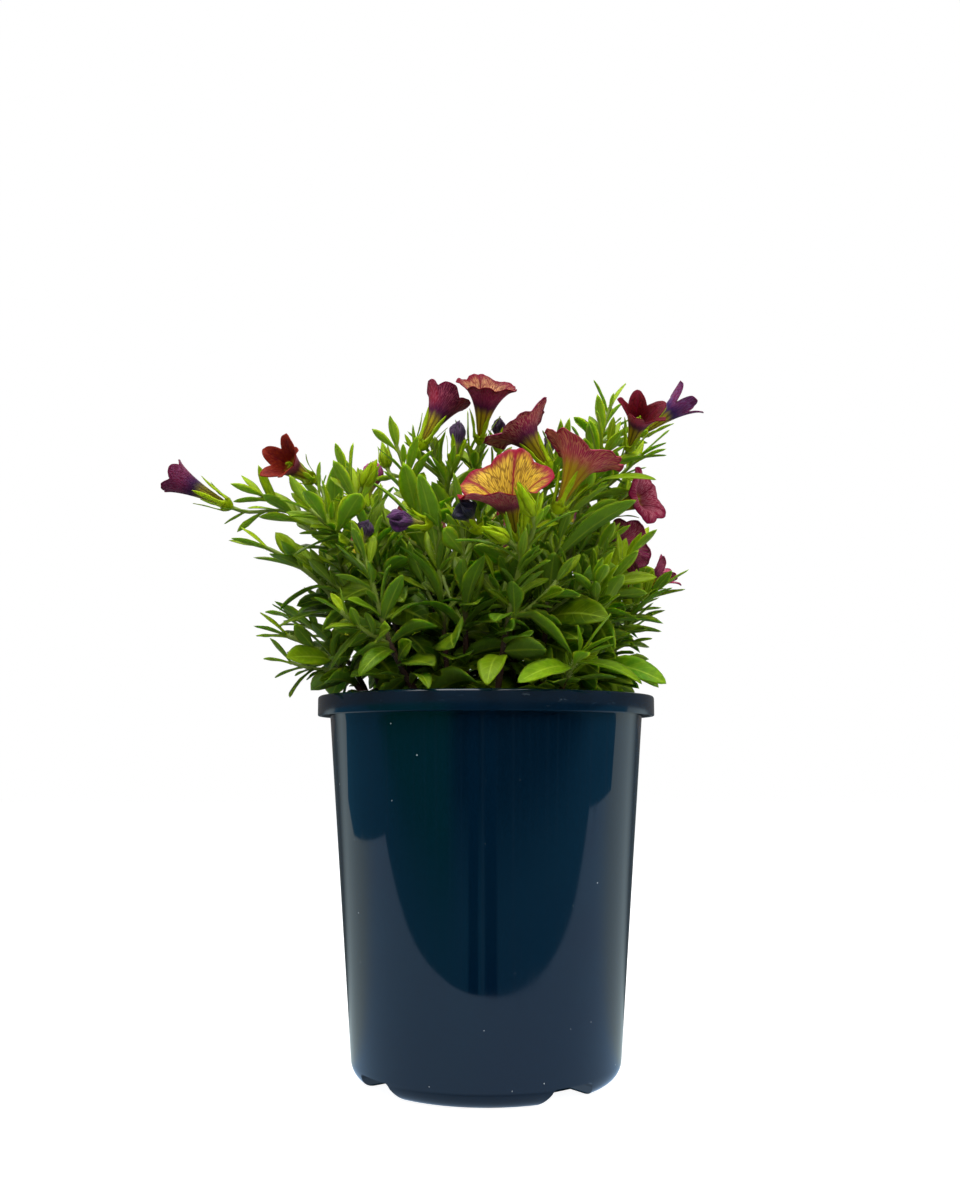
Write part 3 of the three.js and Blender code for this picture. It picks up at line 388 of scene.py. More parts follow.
@dataclass(frozen=True)
class StemFinish(Finish):
    """Stems: brown-purple and woody low down, green above."""

    name: str = "stem"
    green: Colour = "74892c"
    woody: Colour = "453022"
    purple: Colour = "3c2226"

    def wire(self, net: Net) -> None:
        """The colour goes from green to purple-brown by age, with streaks along the stem."""
        bark = Effects.mottle(net, self.woody, self.purple, 240.0, 0.8)
        young = Effects.mottle(net, self.green, self.purple, 200.0, 0.12)
        net.shade(Roughness=0.6, Base_Color=net.blend(net.ramp(net.mark("age"), 0.22, 0.55), young, bark))
        net.relief(net.noise(net.stretched(net.place(), 1.0, 1.0, 0.2), 1800.0), 0.5, 0.0003)


@dataclass(frozen=True)
class HairFinish(Finish):
    """The fine pale hairs of the stems."""

    name: str = "hair"
    colour: Colour = "b9c486"
    other: Colour = "93a158"

    def wire(self, net: Net) -> None:
        """A pale colour, a little darker in patches."""
        net.shade(Roughness=0.7, Base_Color=Effects.mottle(net, self.colour, self.other, 300.0, 0.5))


@dataclass(frozen=True)
class PetalFinish(Finish):
    """Velvety petals: a striped tube, an outside, and a face with veins, rays, an edge and a throat."""

    tube: Colour = "a8961a"
    stripe: Colour = "3c2410"
    base: Colour = "46143c"
    outside: Colour = "7e1a42"
    outside_veins: Colour = "4a0e2c"
    outside_net: Colour = "a04c60"
    warm: Colour = "8c2040"
    face: Colour = "74142a"
    veins: Colour = "40091a"
    edge: Colour = "78103a"
    rays: Colour = "70102c"
    throat: Colour = "c09424"
    tube_end: float = 0.5
    edge_from: float = 0.84
    ray_share: float = 0.6
    net_share: float = 0.7
    fine: float = 15.0

    def wire(self, net: Net) -> None:
        """The outside runs from the striped tube through the base colour to the limb. The face has a throat,
        a net of veins, five rays down the lobes and an edge. The inside mark chooses between them."""
        net.shade(
            Roughness=0.5, Sheen_Weight=0.02, Sheen_Roughness=0.4, Subsurface_Weight=0.08,
            Subsurface_Scale=0.001, Subsurface_Radius=(1.0, 0.4, 0.3), Specular_IOR_Level=0.12,
        )
        flow = net.mark("flow", "Vector")
        cells, lines = Effects.petal_net(net, flow, self.fine)
        parts = net.parts(flow)
        turn = net.math("ARCTAN2", parts[1], parts[0])
        level = net.math("SUBTRACT", parts[2], 0.08)
        along = net.math("MULTIPLY_ADD", net.noise(flow, 2.6, 2.0), 0.16, level)
        stripes = net.ramp(net.math("COSINE", net.times(turn, 10.0)), 0.0, 0.7)
        outside = net.over(stripes, 0.62, self.tube, self.stripe)
        outside = net.blend(net.ramp(along, self.tube_end - 0.2, self.tube_end), outside, self.base)
        limb = net.blend(net.ramp(net.noise(flow, 0.9, 1.0), 0.42, 0.6), self.outside, self.warm)
        limb = net.over(lines, 0.55, limb, self.outside_veins)
        limb = net.over(cells, 0.8, limb, self.outside_net)
        outside = net.blend(net.ramp(along, 0.42, 0.74), outside, limb)
        outside = net.blend(net.ramp(along, self.edge_from + 0.1, 1.0), outside, self.edge)
        veined = net.math("MAXIMUM", cells, net.times(lines, net.ramp(along, 0.95, 0.6)))
        face = net.over(veined, self.net_share, self.face, self.veins)
        lobe = net.math("MULTIPLY_ADD", net.math("COSINE", net.times(turn, 5.0)), 0.5, 0.5)
        sharp, soft = net.math("POWER", lobe, 40.0), net.times(net.math("POWER", lobe, 8.0), 0.3)
        face = net.over(net.math("MAXIMUM", sharp, soft), self.ray_share, face, self.rays)
        bands = (self.edge_from, 1.0, self.edge), (0.5, 0.34, self.throat), (0.28, 0.14, self.stripe)
        for start, end, colour in bands:
            face = net.blend(net.ramp(along, start, end), face, colour)
        colour = net.blend(net.mark("inside"), outside, face)
        net.shade(Base_Color=Effects.mottle(net, colour, self.outside_veins, 220.0, 0.15))
        net.relief(net.math("MULTIPLY_ADD", cells, -0.6, net.times(lines, -0.5)), 0.6, 0.0003)


class Petal(Enum):
    """The blooms' colours, one for each look on the plant."""

    PLUM = PetalFinish(
        "petal_plum", base="2a1640", outside="541030", outside_net="743c5c",
        warm="641238", edge="5c1434", face="5c1030", tube="8c8420",
    )
    BRICK = PetalFinish(
        "petal_brick", base="541228", face="6c0e12", veins="903614", edge="842816",
        rays="560a14", throat="c8a420", edge_from=0.8, net_share=0.75,
    )
    WINE = PetalFinish(
        "petal_wine", base="42123a", outside="5e1434", warm="8c182e", face="7c1424",
    )
    PEACH = PetalFinish(
        "petal_peach", base="44123a", outside="882050", outside_net="a04868",
        face="c48e62", veins="6c1028", edge="6c0424", rays="640422", edge_from=0.78,
        ray_share=0.95, net_share=0.85,
    )
    MAROON = PetalFinish(
        "petal_maroon", base="501240", outside="98204c", outside_net="c88074",
        face="bc8468", veins="7c1c34", edge="74103a",
    )
    SUNSET = PetalFinish(
        "petal_sunset", base="641a3c", outside="c4486c", outside_net="d08880",
        warm="b43c60", face="d4ac36", veins="501606", edge="8c022c", rays="840228",
        edge_from=0.88, ray_share=0.95, net_share=0.72,
    )
    SALMON = PetalFinish(
        "petal_salmon", tube="a48c12", stripe="8c5a14", base="a8502c", outside="b83458",
        outside_veins="801c3c", outside_net="dc8c70", warm="bc4848", face="d88c30",
        veins="8c2c2c", edge="9c2c48", tube_end=0.66,
    )
    RED = PetalFinish(
        "petal_red", base="441440", outside="a83064", face="660c16", veins="2c040a",
        edge="641024", throat="3c0a0c", stripe="180406",
    )
    GRAPE = PetalFinish(
        "petal_grape", base="30225c", outside="6c245c", outside_net="845c90",
        warm="7c2c58", face="702050", veins="381034", edge="64204c",
    )
    MAGENTA = PetalFinish(
        "petal_magenta", base="561440", outside="9c1846", outside_net="ac6470",
        face="7a0630", veins="c07c88", rays="600224", edge="6c0a30", ray_share=0.95,
        net_share=0.55,
    )
    ROSE = PetalFinish(
        "petal_rose", base="5c1840", outside="c0447c", outside_net="d08090", warm="b43460",
        face="c0446c", veins="dc98a0", rays="701038", edge="842048", ray_share=0.8,
    )


@dataclass(frozen=True)
class FadedFinish(Finish):
    """Petals that are over or not yet open: matt dark purple to navy, creased along their length."""

    colour: Colour = "1e1a38"
    other: Colour = "0c0c1e"
    tube: Colour = "8c8632"

    def wire(self, net: Net) -> None:
        """The colour runs from the tube's to the petals' and darkens along the creases."""
        flow = net.mark("flow", "Vector")
        lines = Effects.petal_net(net, flow, 6.0)[1]
        petals = Effects.mottle(net, self.colour, self.other, 420.0, 0.9)
        petals = net.over(lines, 0.6, petals, self.other)
        colour = net.blend(net.ramp(net.parts(flow)[2], 0.22, 0.42), self.tube, petals)
        net.shade(Roughness=0.75, Sheen_Weight=0.12, Sheen_Roughness=0.5, Base_Color=colour)
        net.relief(net.noise(net.stretched(flow, 4.0, 4.0, 1.2), 2.0), 0.9, 0.0012)


class Spent(Enum):
    """The colours of the faded blooms and coloured buds."""

    NAVY = FadedFinish("faded_navy")
    PURPLE = FadedFinish("faded_purple", colour="54205a", other="2e1236", tube="b4ac34")
    PINK = FadedFinish("faded_pink", colour="a03670", other="6c2252", tube="c0b440")
    VIOLET = FadedFinish("faded_violet", colour="402046", other="1e0e2a")


@dataclass(frozen=True)
class PotFinish(Finish):
    """Glossy dark navy plastic, smudged and faintly scratched, with scuffs on the rim and a few specks."""

    name: str = "pot_plastic"
    colour: Colour = "0a1f2e"
    deep: Colour = "07182a"
    scuff: Colour = "54636c"
    speck: Colour = "c9d2d6"
    rim: float = 0.143

    def wire(self, net: Net) -> None:
        """Smudges and scratches change the roughness. Scuffs by the rim and rare specks change the colour."""
        place = net.place()
        x, y, height = net.parts(place)

        def grain(squeeze: float, scale: float, detail: float, rough: float = 0.55) -> Socket:
            """Noise that is squeezed upright by a factor, or drawn out where it is under 1."""
            return net.noise(net.stretched(place, 1.0, 1.0, squeeze), scale, detail, rough)

        worn = net.times(net.ramp(grain(2.5, 150.0, 5.0, 0.7), 0.62, 0.74), net.ramp(height, self.rim, 0.149))
        colour = net.over(worn, 0.35, Effects.mottle(net, self.colour, self.deep, 9.0, 0.6), self.scuff)
        turn = net.times(net.math("ARCTAN2", x, net.times(y, -1.0)), 0.06)
        sheet = net.add("ShaderNodeCombineXYZ", {0: turn, 1: height}).outputs[0]
        cells = net.add("ShaderNodeTexVoronoi", {"Vector": sheet, "Scale": 85.0}, voronoi_dimensions="2D")
        rare = net.parts(cells.outputs["Color"])
        spot = net.math("SUBTRACT", cells.outputs["Distance"], net.times(rare[1], 0.02))
        dot = net.times(net.ramp(spot, 0.01, 0.0), net.math("GREATER_THAN", rare[0], 0.86))
        smudge = net.ramp(grain(0.5, 22.0, 4.0), 0.35, 0.75, 0.03, 0.11)
        lines = net.ramp(grain(0.02, 700.0, 2.0), 0.6, 0.72, 0.0, 0.05)
        rim = net.math("MULTIPLY_ADD", worn, 0.3, net.times(net.ramp(height, self.rim, 0.146), 0.09))
        rough = net.math("ADD", net.math("ADD", smudge, lines), rim)
        net.shade(Base_Color=net.over(dot, 0.7, colour, self.speck), Roughness=rough)
        net.relief(grain(0.25, 30.0, 2.0), 0.15, 0.0006)


@dataclass(frozen=True)
class CrumbFinish(Finish):
    """Potting mix, bark or perlite: a matt colour, patched with another one and rough."""

    colour: Colour
    other: Colour
    scale: float = 400.0

    def wire(self, net: Net) -> None:
        """Two colours in patches over a coarse grain."""
        net.shade(Roughness=0.95, Base_Color=Effects.mottle(net, self.colour, self.other, self.scale, 0.9))
        net.relief(net.noise(net.place(), 1100.0, 5.0, 0.7), 1.0, 0.0012)


class Crumb(Enum):
    """What the mix is made of."""

    PEAT = CrumbFinish("peat", "35241a", "1c120c")
    BARK = CrumbFinish("bark_chips", "6a4a30", "2f1e14", 600.0)
    PERLITE = CrumbFinish("perlite", "dedacd", "a9a293", 500.0)


LEAF, STEM_SKIN, HAIR = LeafFinish(), StemFinish(), HairFinish()

# ---- Meshes ----


@dataclass
class Patch:
    """Closed surfaces with one finish: points in millimetres, faces, and marks for the shader."""

    points: Array
    quads: Array
    triangles: Array
    finish: Finish
    marks: dict[str, Array]

    def outward(self) -> "Patch":
        """Turns all the faces round if the volume inside them comes out negative."""
        fans = np.concatenate([self.quads[:, [0, 1, 2]], self.quads[:, [0, 2, 3]], self.triangles])
        a, b, c = (self.points[fans[:, k]] for k in range(3))
        if np.einsum("ij,ij->", a, np.cross(b, c)) < 0:
            self.quads, self.triangles = self.quads[:, ::-1], self.triangles[:, ::-1]
        return self


def skins(
    rings: Array, finish: Finish, first: Array | None = None, last: Array | None = None, **marks: Array
) -> Patch:
    """Closed tubes over rings of points.

    Ring r is joined to ring r + 1 by quads, and each end ring to one end point by triangles.

    Args:
        rings: The points, as tubes by rings by points round by 3.
        finish: The finish of the surface.
        first: The point that closes each first ring, or None for the ring's centre.
        last: The point that closes each last ring, or None for the ring's centre.
        marks: Values for the shader, that broadcast to tubes by rings by points round, with 3 more for flow.

    Returns:
        All the tubes as one patch.
    """
    tubes, rows, n, _ = rings.shape
    first = rings[:, 0].mean(1) if first is None else first
    last = rings[:, -1].mean(1) if last is None else last
    size = rows * n + 2
    ring, turn = np.meshgrid(np.arange(rows - 1), np.arange(n), indexing="ij")
    after = (turn + 1) % n
    quads = np.stack([ring * n + turn, ring * n + after, (ring + 1) * n + after, (ring + 1) * n + turn], -1)
    i = np.arange(n)
    top = (rows - 1) * n
    start = np.stack([(i + 1) % n, i, np.full(n, rows * n)], -1)
    end = np.stack([top + i, top + (i + 1) % n, np.full(n, rows * n + 1)], -1)
    offset = (np.arange(tubes) * size)[:, None, None]
    points = [part.reshape(tubes, -1, 3) for part in (rings, first, last)]
    laid = {}
    for name, value in marks.items():
        deep = name == "flow"
        full = np.broadcast_to(value, (tubes, rows, n, 3) if deep else (tubes, rows, n))
        ends = [full[:, 0].mean(1)[:, None], full[:, -1].mean(1)[:, None]]
        tail = (3,) if deep else ()
        laid[name] = np.concatenate([full.reshape(tubes, rows * n, *tail), *ends], 1).reshape(-1, *tail)
    return Patch(
        np.concatenate(points, 1).reshape(-1, 3),
        (quads.reshape(1, -1, 4) + offset).reshape(-1, 4),
        (np.concatenate([start, end])[None] + offset).reshape(-1, 3),
        finish,
        laid,
    ).outward()


def new_mesh(name: str, patches: list[Patch]) -> bpy.types.Object:
    """Puts patches into one mesh object, with a material for each finish and a point attribute for each mark.

    Args:
        name: The object's name.
        patches: The patches, in millimetres.

    Returns:
        The object, at the origin, in metres.
    """
    finishes = list(dict.fromkeys(patch.finish for patch in patches))
    offsets = np.cumsum([0] + [len(patch.points) for patch in patches])
    corners, sizes, slots = [], [], []
    for patch, offset in zip(patches, offsets):
        for faces in (patch.quads, patch.triangles):
            corners.append((faces + offset).ravel())
            sizes.append(np.full(len(faces), faces.shape[1]))
            slots.append(np.full(len(faces), finishes.index(patch.finish)))
    corners, sizes, slots = (np.concatenate(parts).astype(np.int32) for parts in (corners, sizes, slots))
    mesh = bpy.data.meshes.new(name)
    mesh.vertices.add(int(offsets[-1]))
    points = np.concatenate([patch.points for patch in patches]) * MM
    mesh.vertices.foreach_set("co", points.astype(np.float32).ravel())
    mesh.loops.add(len(corners))
    mesh.loops.foreach_set("vertex_index", corners)
    mesh.polygons.add(len(sizes))
    mesh.polygons.foreach_set("loop_start", (np.cumsum(sizes) - sizes).astype(np.int32))
    mesh.polygons.foreach_set("material_index", slots)
    mesh.polygons.foreach_set("use_smooth", np.ones(len(sizes), bool))
    for mark in sorted({name for patch in patches for name in patch.marks}):
        deep = mark == "flow"
        blank = (3,) if deep else ()
        values = [patch.marks.get(mark, np.zeros((len(patch.points), *blank))) for patch in patches]
        values = np.concatenate(values).astype(np.float32).ravel()
        attribute = mesh.attributes.new(mark, "FLOAT_VECTOR" if deep else "FLOAT", "POINT")
        attribute.data.foreach_set("vector" if deep else "value", values)
    mesh.update(calc_edges=True)
    for finish in finishes:
        mesh.materials.append(finish.material())
    obj = bpy.data.objects.new(name, mesh)
    bpy.context.scene.collection.objects.link(obj)
    return obj


def seat(obj: bpy.types.Object, node: str) -> None:
    """Lets an object stand for a CAD node, and reports it."""
    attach(obj, BODY)
    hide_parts(node)
    LOG.info("%s: %d faces for %s", obj.name, len(obj.data.polygons), node)


def carve(obj: bpy.types.Object, cutters: list[bpy.types.Object]) -> None:
    """Takes the cutters out of an object's mesh for good, and removes them."""
    for cutter in cutters:
        modifier = obj.modifiers.new("cut", "BOOLEAN")
        modifier.operation, modifier.solver, modifier.object = "DIFFERENCE", "EXACT", cutter
    graph = bpy.context.evaluated_depsgraph_get()
    whole = bpy.data.meshes.new_from_object(obj.evaluated_get(graph))
    obj.modifiers.clear()
    obj.data = whole
    for cutter in cutters:
        bpy.data.objects.remove(cutter)


def sharpen(obj: bpy.types.Object, degrees: float) -> None:
    """Marks the edges whose faces turn by more than an angle as sharp."""
    obj.data.set_sharp_from_angle(angle=math.radians(degrees))


def turned(profile: list[Pair], columns: int) -> Array:
    """A profile of radius and height carried round the pot's axis, as rings.

    Args:
        profile: The radius and height of each ring.
        columns: The points round.

    Returns:
        The rings, as 1 by rings by points by 3: radius times cosine, radius times sine, height.
    """
    radius, height = np.array(profile, float).T[:, :, None]
    angle = circle(columns)
    rings = [radius * np.cos(angle), radius * np.sin(angle), np.broadcast_to(height, (len(height), columns))]
    return np.stack(rings, -1)[None]


# ---- The pot and its mix ----


@dataclass(frozen=True)
class Notch:
    """A drain recess in the pot's foot: a bar with a tapered outline, and a slot through its ceiling. The bar
    starts below the underside, so that the recess is open there."""

    turn_deg: float
    height: float = 6.5
    top_width: float = 19.0
    bottom_width: float = 27.0
    inner_radius: float = 37.0
    corner: float = 2.2
    slot_width: float = 5.0
    slot_length: float = 12.0
    slot_height: float = 20.0
    slot_radius: float = 46.0
    underside: float = -1.0

    def placed(self, across: Array, out: Array, height: Array) -> Array:
        """Points from their place across the bar, out from the axis and up: out runs along the sine and minus
        the cosine of the turn."""
        turn = math.radians(self.turn_deg)
        side = np.array([math.cos(turn), math.sin(turn), 0.0])
        away = np.array([math.sin(turn), -math.cos(turn), 0.0])
        return spread(across) * side + spread(out) * away + spread(height) * UP

    def outline(self, grow: float) -> tuple[Array, Array]:
        """The bar's outline, with round upper corners: each is an arc tangent to its two sides."""
        low, high = self.bottom_width / 2 + grow, self.top_width / 2 + grow
        bottom, top = (-grow if grow else self.underside), self.height + grow
        arc = np.radians(np.linspace(8, 90, 6))
        across = high - self.corner * 0.85 + self.corner * np.cos(arc)
        up = top - self.corner + self.corner * np.sin(arc)
        right = np.concatenate([[low], across]), np.concatenate([[bottom], up])
        return np.concatenate([right[0], -right[0][::-1]]), np.concatenate([right[1], right[1][::-1]])

    def bar(self, grow: float, reach: float) -> bpy.types.Object:
        """The cutter of the recess, grown on every side."""
        across, up = self.outline(grow)
        out = np.array([self.inner_radius - grow, reach])[:, None]
        rings = self.placed(*np.broadcast_arrays(across[None], out, up[None]))[None]
        return new_mesh("recess_cutter", [skins(rings, PotFinish())])

    def slot(self) -> bpy.types.Object:
        """The cutter of the drain slot, with rounded ends."""
        angle = circle(24)
        half = self.slot_width / 2
        across = (self.slot_length / 2 - half) * np.sign(np.cos(angle)) + half * np.cos(angle)
        out = self.slot_radius + half * np.sin(angle)
        middle = self.height + self.slot_height / 5
        up = np.array([middle - self.slot_height / 2, middle + self.slot_height / 2])[:, None]
        rings = self.placed(*np.broadcast_arrays(across[None], out[None], up))[None]
        return new_mesh("slot_cutter", [skins(rings, PotFinish())])


@dataclass(frozen=True)
class NurseryPot:
    """The round pot: a tapered wall, a rim with a skirt, a rounded foot and four drain recesses in it."""

    height: float = 152.5
    rim_radius: float = 70.0
    rim_height: float = 8.2
    rim_corner: float = 1.2
    body_top_radius: float = 65.5
    body_bottom_radius: float = 54.0
    foot_corner: float = 8.0
    wall: float = 1.6
    floor: float = 2.0
    columns: int = 240
    recesses: tuple[Notch, ...] = tuple(Notch(37.0 + 90.0 * i) for i in range(4))

    def wall_radius(self, z: float) -> float:
        """The outer radius of the plain cone at a height."""
        return mix(self.body_bottom_radius, self.body_top_radius, z / self.height)

    def foot_curve(self, inset: float, floor: float, steps: int) -> list[Pair]:
        """The quarter-round of the foot, moved in by the inset and kept above the floor."""
        centre, radius = self.wall_radius(self.foot_corner) - self.foot_corner, self.foot_corner - inset
        angle = np.radians(np.linspace(-90, 0, steps + 1))
        height = np.maximum(self.foot_corner + radius * np.sin(angle), floor)
        return list(zip(centre + radius * np.cos(angle), height))

    def fillet(self, r: float, z: float, radius: float, start: float, end: float, steps: int = 4) -> list:
        """An arc about r and z, in degrees, as points of a profile."""
        angle = np.radians(np.linspace(start, end, steps + 1))
        return list(zip(r + radius * np.cos(angle), z + radius * np.sin(angle)))

    def outside(self) -> list[Pair]:
        """The profile of the pot as if it were solid: foot, cone, channel under the rim, skirt and top."""
        under, skirt = self.height - self.rim_height, self.rim_radius - self.wall
        inner, corner = self.wall_radius(self.height) - self.wall, self.rim_corner
        cone = [(self.wall_radius(z), z) for z in np.linspace(self.foot_corner + 4, under - 3, 9)]
        neck = self.wall_radius(self.height - self.wall)
        return [
            *self.foot_curve(0.0, 0.0, 12),
            *cone,
            *self.fillet(neck + 0.6, self.height - self.wall - 0.6, 0.6, 180, 90, 3),
            (skirt, self.height - self.wall),
            *self.fillet(skirt + 0.3, under + 0.3, 0.3, 180, 270, 3),
            *self.fillet(self.rim_radius - 0.5, under + 0.5, 0.5, 270, 360, 4),
            *self.fillet(self.rim_radius - corner, self.height - corner, corner, 0, 90, 6),
            (inner + 1.5, self.height),
            (inner - 3.0, self.height),
        ]

    def build(self) -> None:
        """Turns the outside, takes the hollow, the recesses and the slots out of it, and dresses it."""
        pot = new_mesh("glossy_nursery_pot", [skins(turned(self.outside(), self.columns), PotFinish())])
        top = self.wall_radius(self.height) - self.wall
        inside = [
            *self.foot_curve(self.wall, self.floor, 8),
            (top - 0.4, self.height - 0.6),
            (top - 0.05, self.height - 0.15),
            (top + 0.35, self.height + 0.2),
            (top + 0.35, self.height + 1.0),
        ]
        hollow = new_mesh("hollow_cutter", [skins(turned(inside, self.columns), PotFinish())])
        carve(hollow, [notch.bar(self.wall, self.rim_radius) for notch in self.recesses])
        cutters = [notch.bar(0.0, self.rim_radius) for notch in self.recesses]
        carve(pot, [hollow, *cutters, *(notch.slot() for notch in self.recesses)])
        sharpen(pot, 32.0)
        seat(pot, "nursery_pot")


POT = NurseryPot()


@dataclass(frozen=True)
class PottingMix:
    """Peat and bark crumb that fills the pot, with loose chips and perlite on it."""

    top: float = 141.0
    relief: float = 0.7
    dome: float = 1.6
    gap: float = 0.3
    chips: int = 380
    lumps: int = 70
    margin: float = 5.0
    seed: int = 4410

    def height(self, x: Array, y: Array) -> Array:
        """The height of the surface: a low dome, long waves, and crumbs of three sizes."""
        inner = POT.wall_radius(self.top) - POT.wall - self.gap
        dome = self.dome * (1 - (x * x + y * y) / (inner * inner))
        waves = self.relief * np.sin(0.31 * x + 1.1) * np.cos(0.27 * y - 0.4)
        crumbs = 0.5 * lumps(x, y, 5.2, 11) + 0.45 * lumps(x, y, 2.3, 12) + 0.3 * lumps(x, y, 1.2, 13)
        return self.top + dome + waves + crumbs - 0.4

    def body(self) -> Patch:
        """The whole fill: the foot's curve, the wall, then rings that follow the surface to the middle."""
        slack, bottom = POT.wall + self.gap, POT.floor + self.gap
        rim = POT.wall_radius(self.top) - slack
        under = turned([*POT.foot_curve(slack, bottom, 6), (rim, self.top - 3)], 160)
        over = turned([(rim * share, 0.0) for share in np.linspace(1, 0.02, 60)], 160)
        over[..., 2] = self.height(over[..., 0], over[..., 1])
        return skins(np.concatenate([under, over], 1), Crumb.PEAT.value)

    def bits(self, count: int, size: Pair, flat: float, finish: Finish, seed: int) -> Patch:
        """Lumps of crumb on the surface: rough ellipsoids, each turned its own way.

        Args:
            count: How many.
            size: The least and the most length.
            flat: The height over the length.
            finish: The finish.
            seed: The seed of their places and shapes.

        Returns:
            All the lumps as one patch.
        """
        rng = np.random.default_rng(seed)
        radius = (POT.wall_radius(self.top) - POT.wall - self.margin) * np.sqrt(rng.random(count))
        angle = FULL_TURN * rng.random(count)
        x, y = radius * np.cos(angle), radius * np.sin(angle)
        length = rng.uniform(*size, count)
        breadth = length * rng.uniform(0.35, 0.8, count)
        turn, tilt = FULL_TURN * rng.random(count), rng.uniform(-0.5, 0.5, count)
        v = np.linspace(0.16, 0.84, 4)[None, :, None] * np.pi
        w = circle(6)[None, None, :]
        rough = rng.uniform(0.75, 1.2, (count, 4, 6))
        a = np.cos(v) * length[:, None, None] / 2 * np.ones((1, 1, 6))
        b = np.sin(v) * np.cos(w) * breadth[:, None, None] / 2 * rough
        c = np.sin(v) * np.sin(w) * (flat * length)[:, None, None] / 2 * rough
        ct, st = np.cos(turn)[:, None, None], np.sin(turn)[:, None, None]
        rings = np.stack([a * ct - b * st, a * st + b * ct, c + a * np.tan(tilt)[:, None, None]], -1)
        centres = np.stack([x, y, self.height(x, y) + 0.25 * flat * length], -1)
        ends = np.stack([np.cos(turn), np.sin(turn), np.tan(tilt)], -1) * (length / 2)[:, None] * 0.97
        return skins(rings + centres[:, None, None], finish, centres + ends, centres - ends)

    def build(self) -> None:
        """Builds the fill clear of the recesses, strews the crumbs on it and dresses it."""
        slack = POT.wall + self.gap
        fill = new_mesh("potting_mix_fill", [self.body()])
        carve(fill, [notch.bar(slack, POT.rim_radius) for notch in POT.recesses])
        seat(fill, "potting_mix")
        chips = self.bits(self.chips, (1.6, 6.5), 0.32, Crumb.BARK.value, self.seed)
        white = self.bits(self.lumps, (1.2, 2.9), 0.8, Crumb.PERLITE.value, self.seed + 1)
        loose = new_mesh("loose_bark_and_perlite", [chips, white])
        sharpen(loose, 40.0)
        seat(loose, "potting_mix")


# ---- The plant, as it was laid out ----


@dataclass(frozen=True)
class Opening:
    """How a corolla opens: the power of its flare, how flat its limb ends, how deep and pointed its lobes."""

    flare: float
    level: float
    lobe: float
    point: float


class Form(Enum):
    """The shapes of bloom on the plant."""

    OPEN = Opening(3.4, 1.6, 0.1, 0.2)
    WIDE = Opening(2.7, 1.3, 0.11, 0.25)
    FUNNEL = Opening(2.2, 1.15, 0.12, 0.4)
    STAR = Opening(2.5, 1.2, 0.26, 0.6)
    FAN = Opening(2.3, 1.2, 0.36, 0.15)


@dataclass(frozen=True)
class StemRow:
    """A main stem: where it leaves the mix, its tip and slope there, its side shoots and its lean out."""

    root: Pair
    tip: Point
    rise: float
    shoots: int
    lean: float = 0.06


@dataclass(frozen=True)
class BloomRow:
    """A bloom: its stem, calyx, mouth and radius there, form, turn, droop, colour and lean to the front."""

    stem: int
    base: Point
    mouth: Point
    radius: float
    form: Form
    turn: float
    droop: float
    petal: Petal
    lean: float = 0.0


@dataclass(frozen=True)
class FadedRow:
    """A faded bloom or a coloured bud: its stem, calyx, far end, widest radius and colour."""

    stem: int
    base: Point
    mouth: Point
    radius: float
    spent: Spent
    turn: float = 0.0


@dataclass(frozen=True)
class BudRow:
    """A green bud, still shut in its sepals: its stem, foot and point."""

    stem: int
    base: Point
    mouth: Point


@dataclass(frozen=True)
class LeafRow:
    """A leaf that shows: its stem, how far up it starts, its point, width, bend and roll in degrees."""

    stem: int
    at: float
    tip: Point
    width: float
    curl: float
    roll: float


STEMS = [StemRow(*row) for row in (
    ((-34, -4), (-95, -12, 237), 25, 2),
    ((-31, -13), (-71, -12, 238), 70, 2, 0.2),
    ((-40, -15), (-90, -27, 212), 20, 1),
    ((-22, -24), (-58, -31, 243), 66, 2, 0.15),
    ((-24, 8), (-56, 20, 248), 60, 1),
    ((-19, -44), (-48, -52, 207), 70, 1, 0.3),
    ((-14, -4), (-39, -2, 262), 70, 2),
    ((-7, 8), (-24, 8, 264), 70, 1),
    ((-1, 19), (-8, 16, 265), 75, 1),
    ((-7, -37), (-10, -47, 221), 75, 1),
    ((9, -24), (18, -36, 220), 65, 1),
    ((8, -8), (32, -8, 256), 65, 2),
    ((20, -34), (36, -40, 230), 60, 1),
    ((24, -8), (52, -15, 258), 60, 2),
    ((21, 7), (56, 11, 284), 72, 2),
    ((35, -3), (60, 8, 240), 50, 1),
    ((31, -17), (49, -20, 214), 45, 1),
    ((45, 2), (70, -10, 196), 40, 1),
    ((40, -28), (56, -40, 206), 40, 1, 0.12),
    ((-46, -22), (-80, -27, 176), 20, 1),
    ((26, -45), (35, -61, 166), 40, 0),
    ((3, -50), (17, -66, 212), 60, 1),
    ((-31, 20), (-70, 42, 226), 45, 2),
    ((-15, 28), (-36, 58, 248), 60, 2),
    ((2, 34), (2, 66, 242), 60, 2),
    ((15, 24), (38, 52, 252), 60, 2),
    ((32, 18), (68, 38, 222), 45, 2),
    ((-28, 39), (-56, 68, 190), 30, 1),
    ((8, 50), (18, 86, 186), 30, 1),
    ((34, 38), (60, 68, 184), 30, 1),
    ((-47, 4), (-84, 14, 188), 25, 1),
    ((-14, -30), (-20, -43, 216), 78, 1),
)]

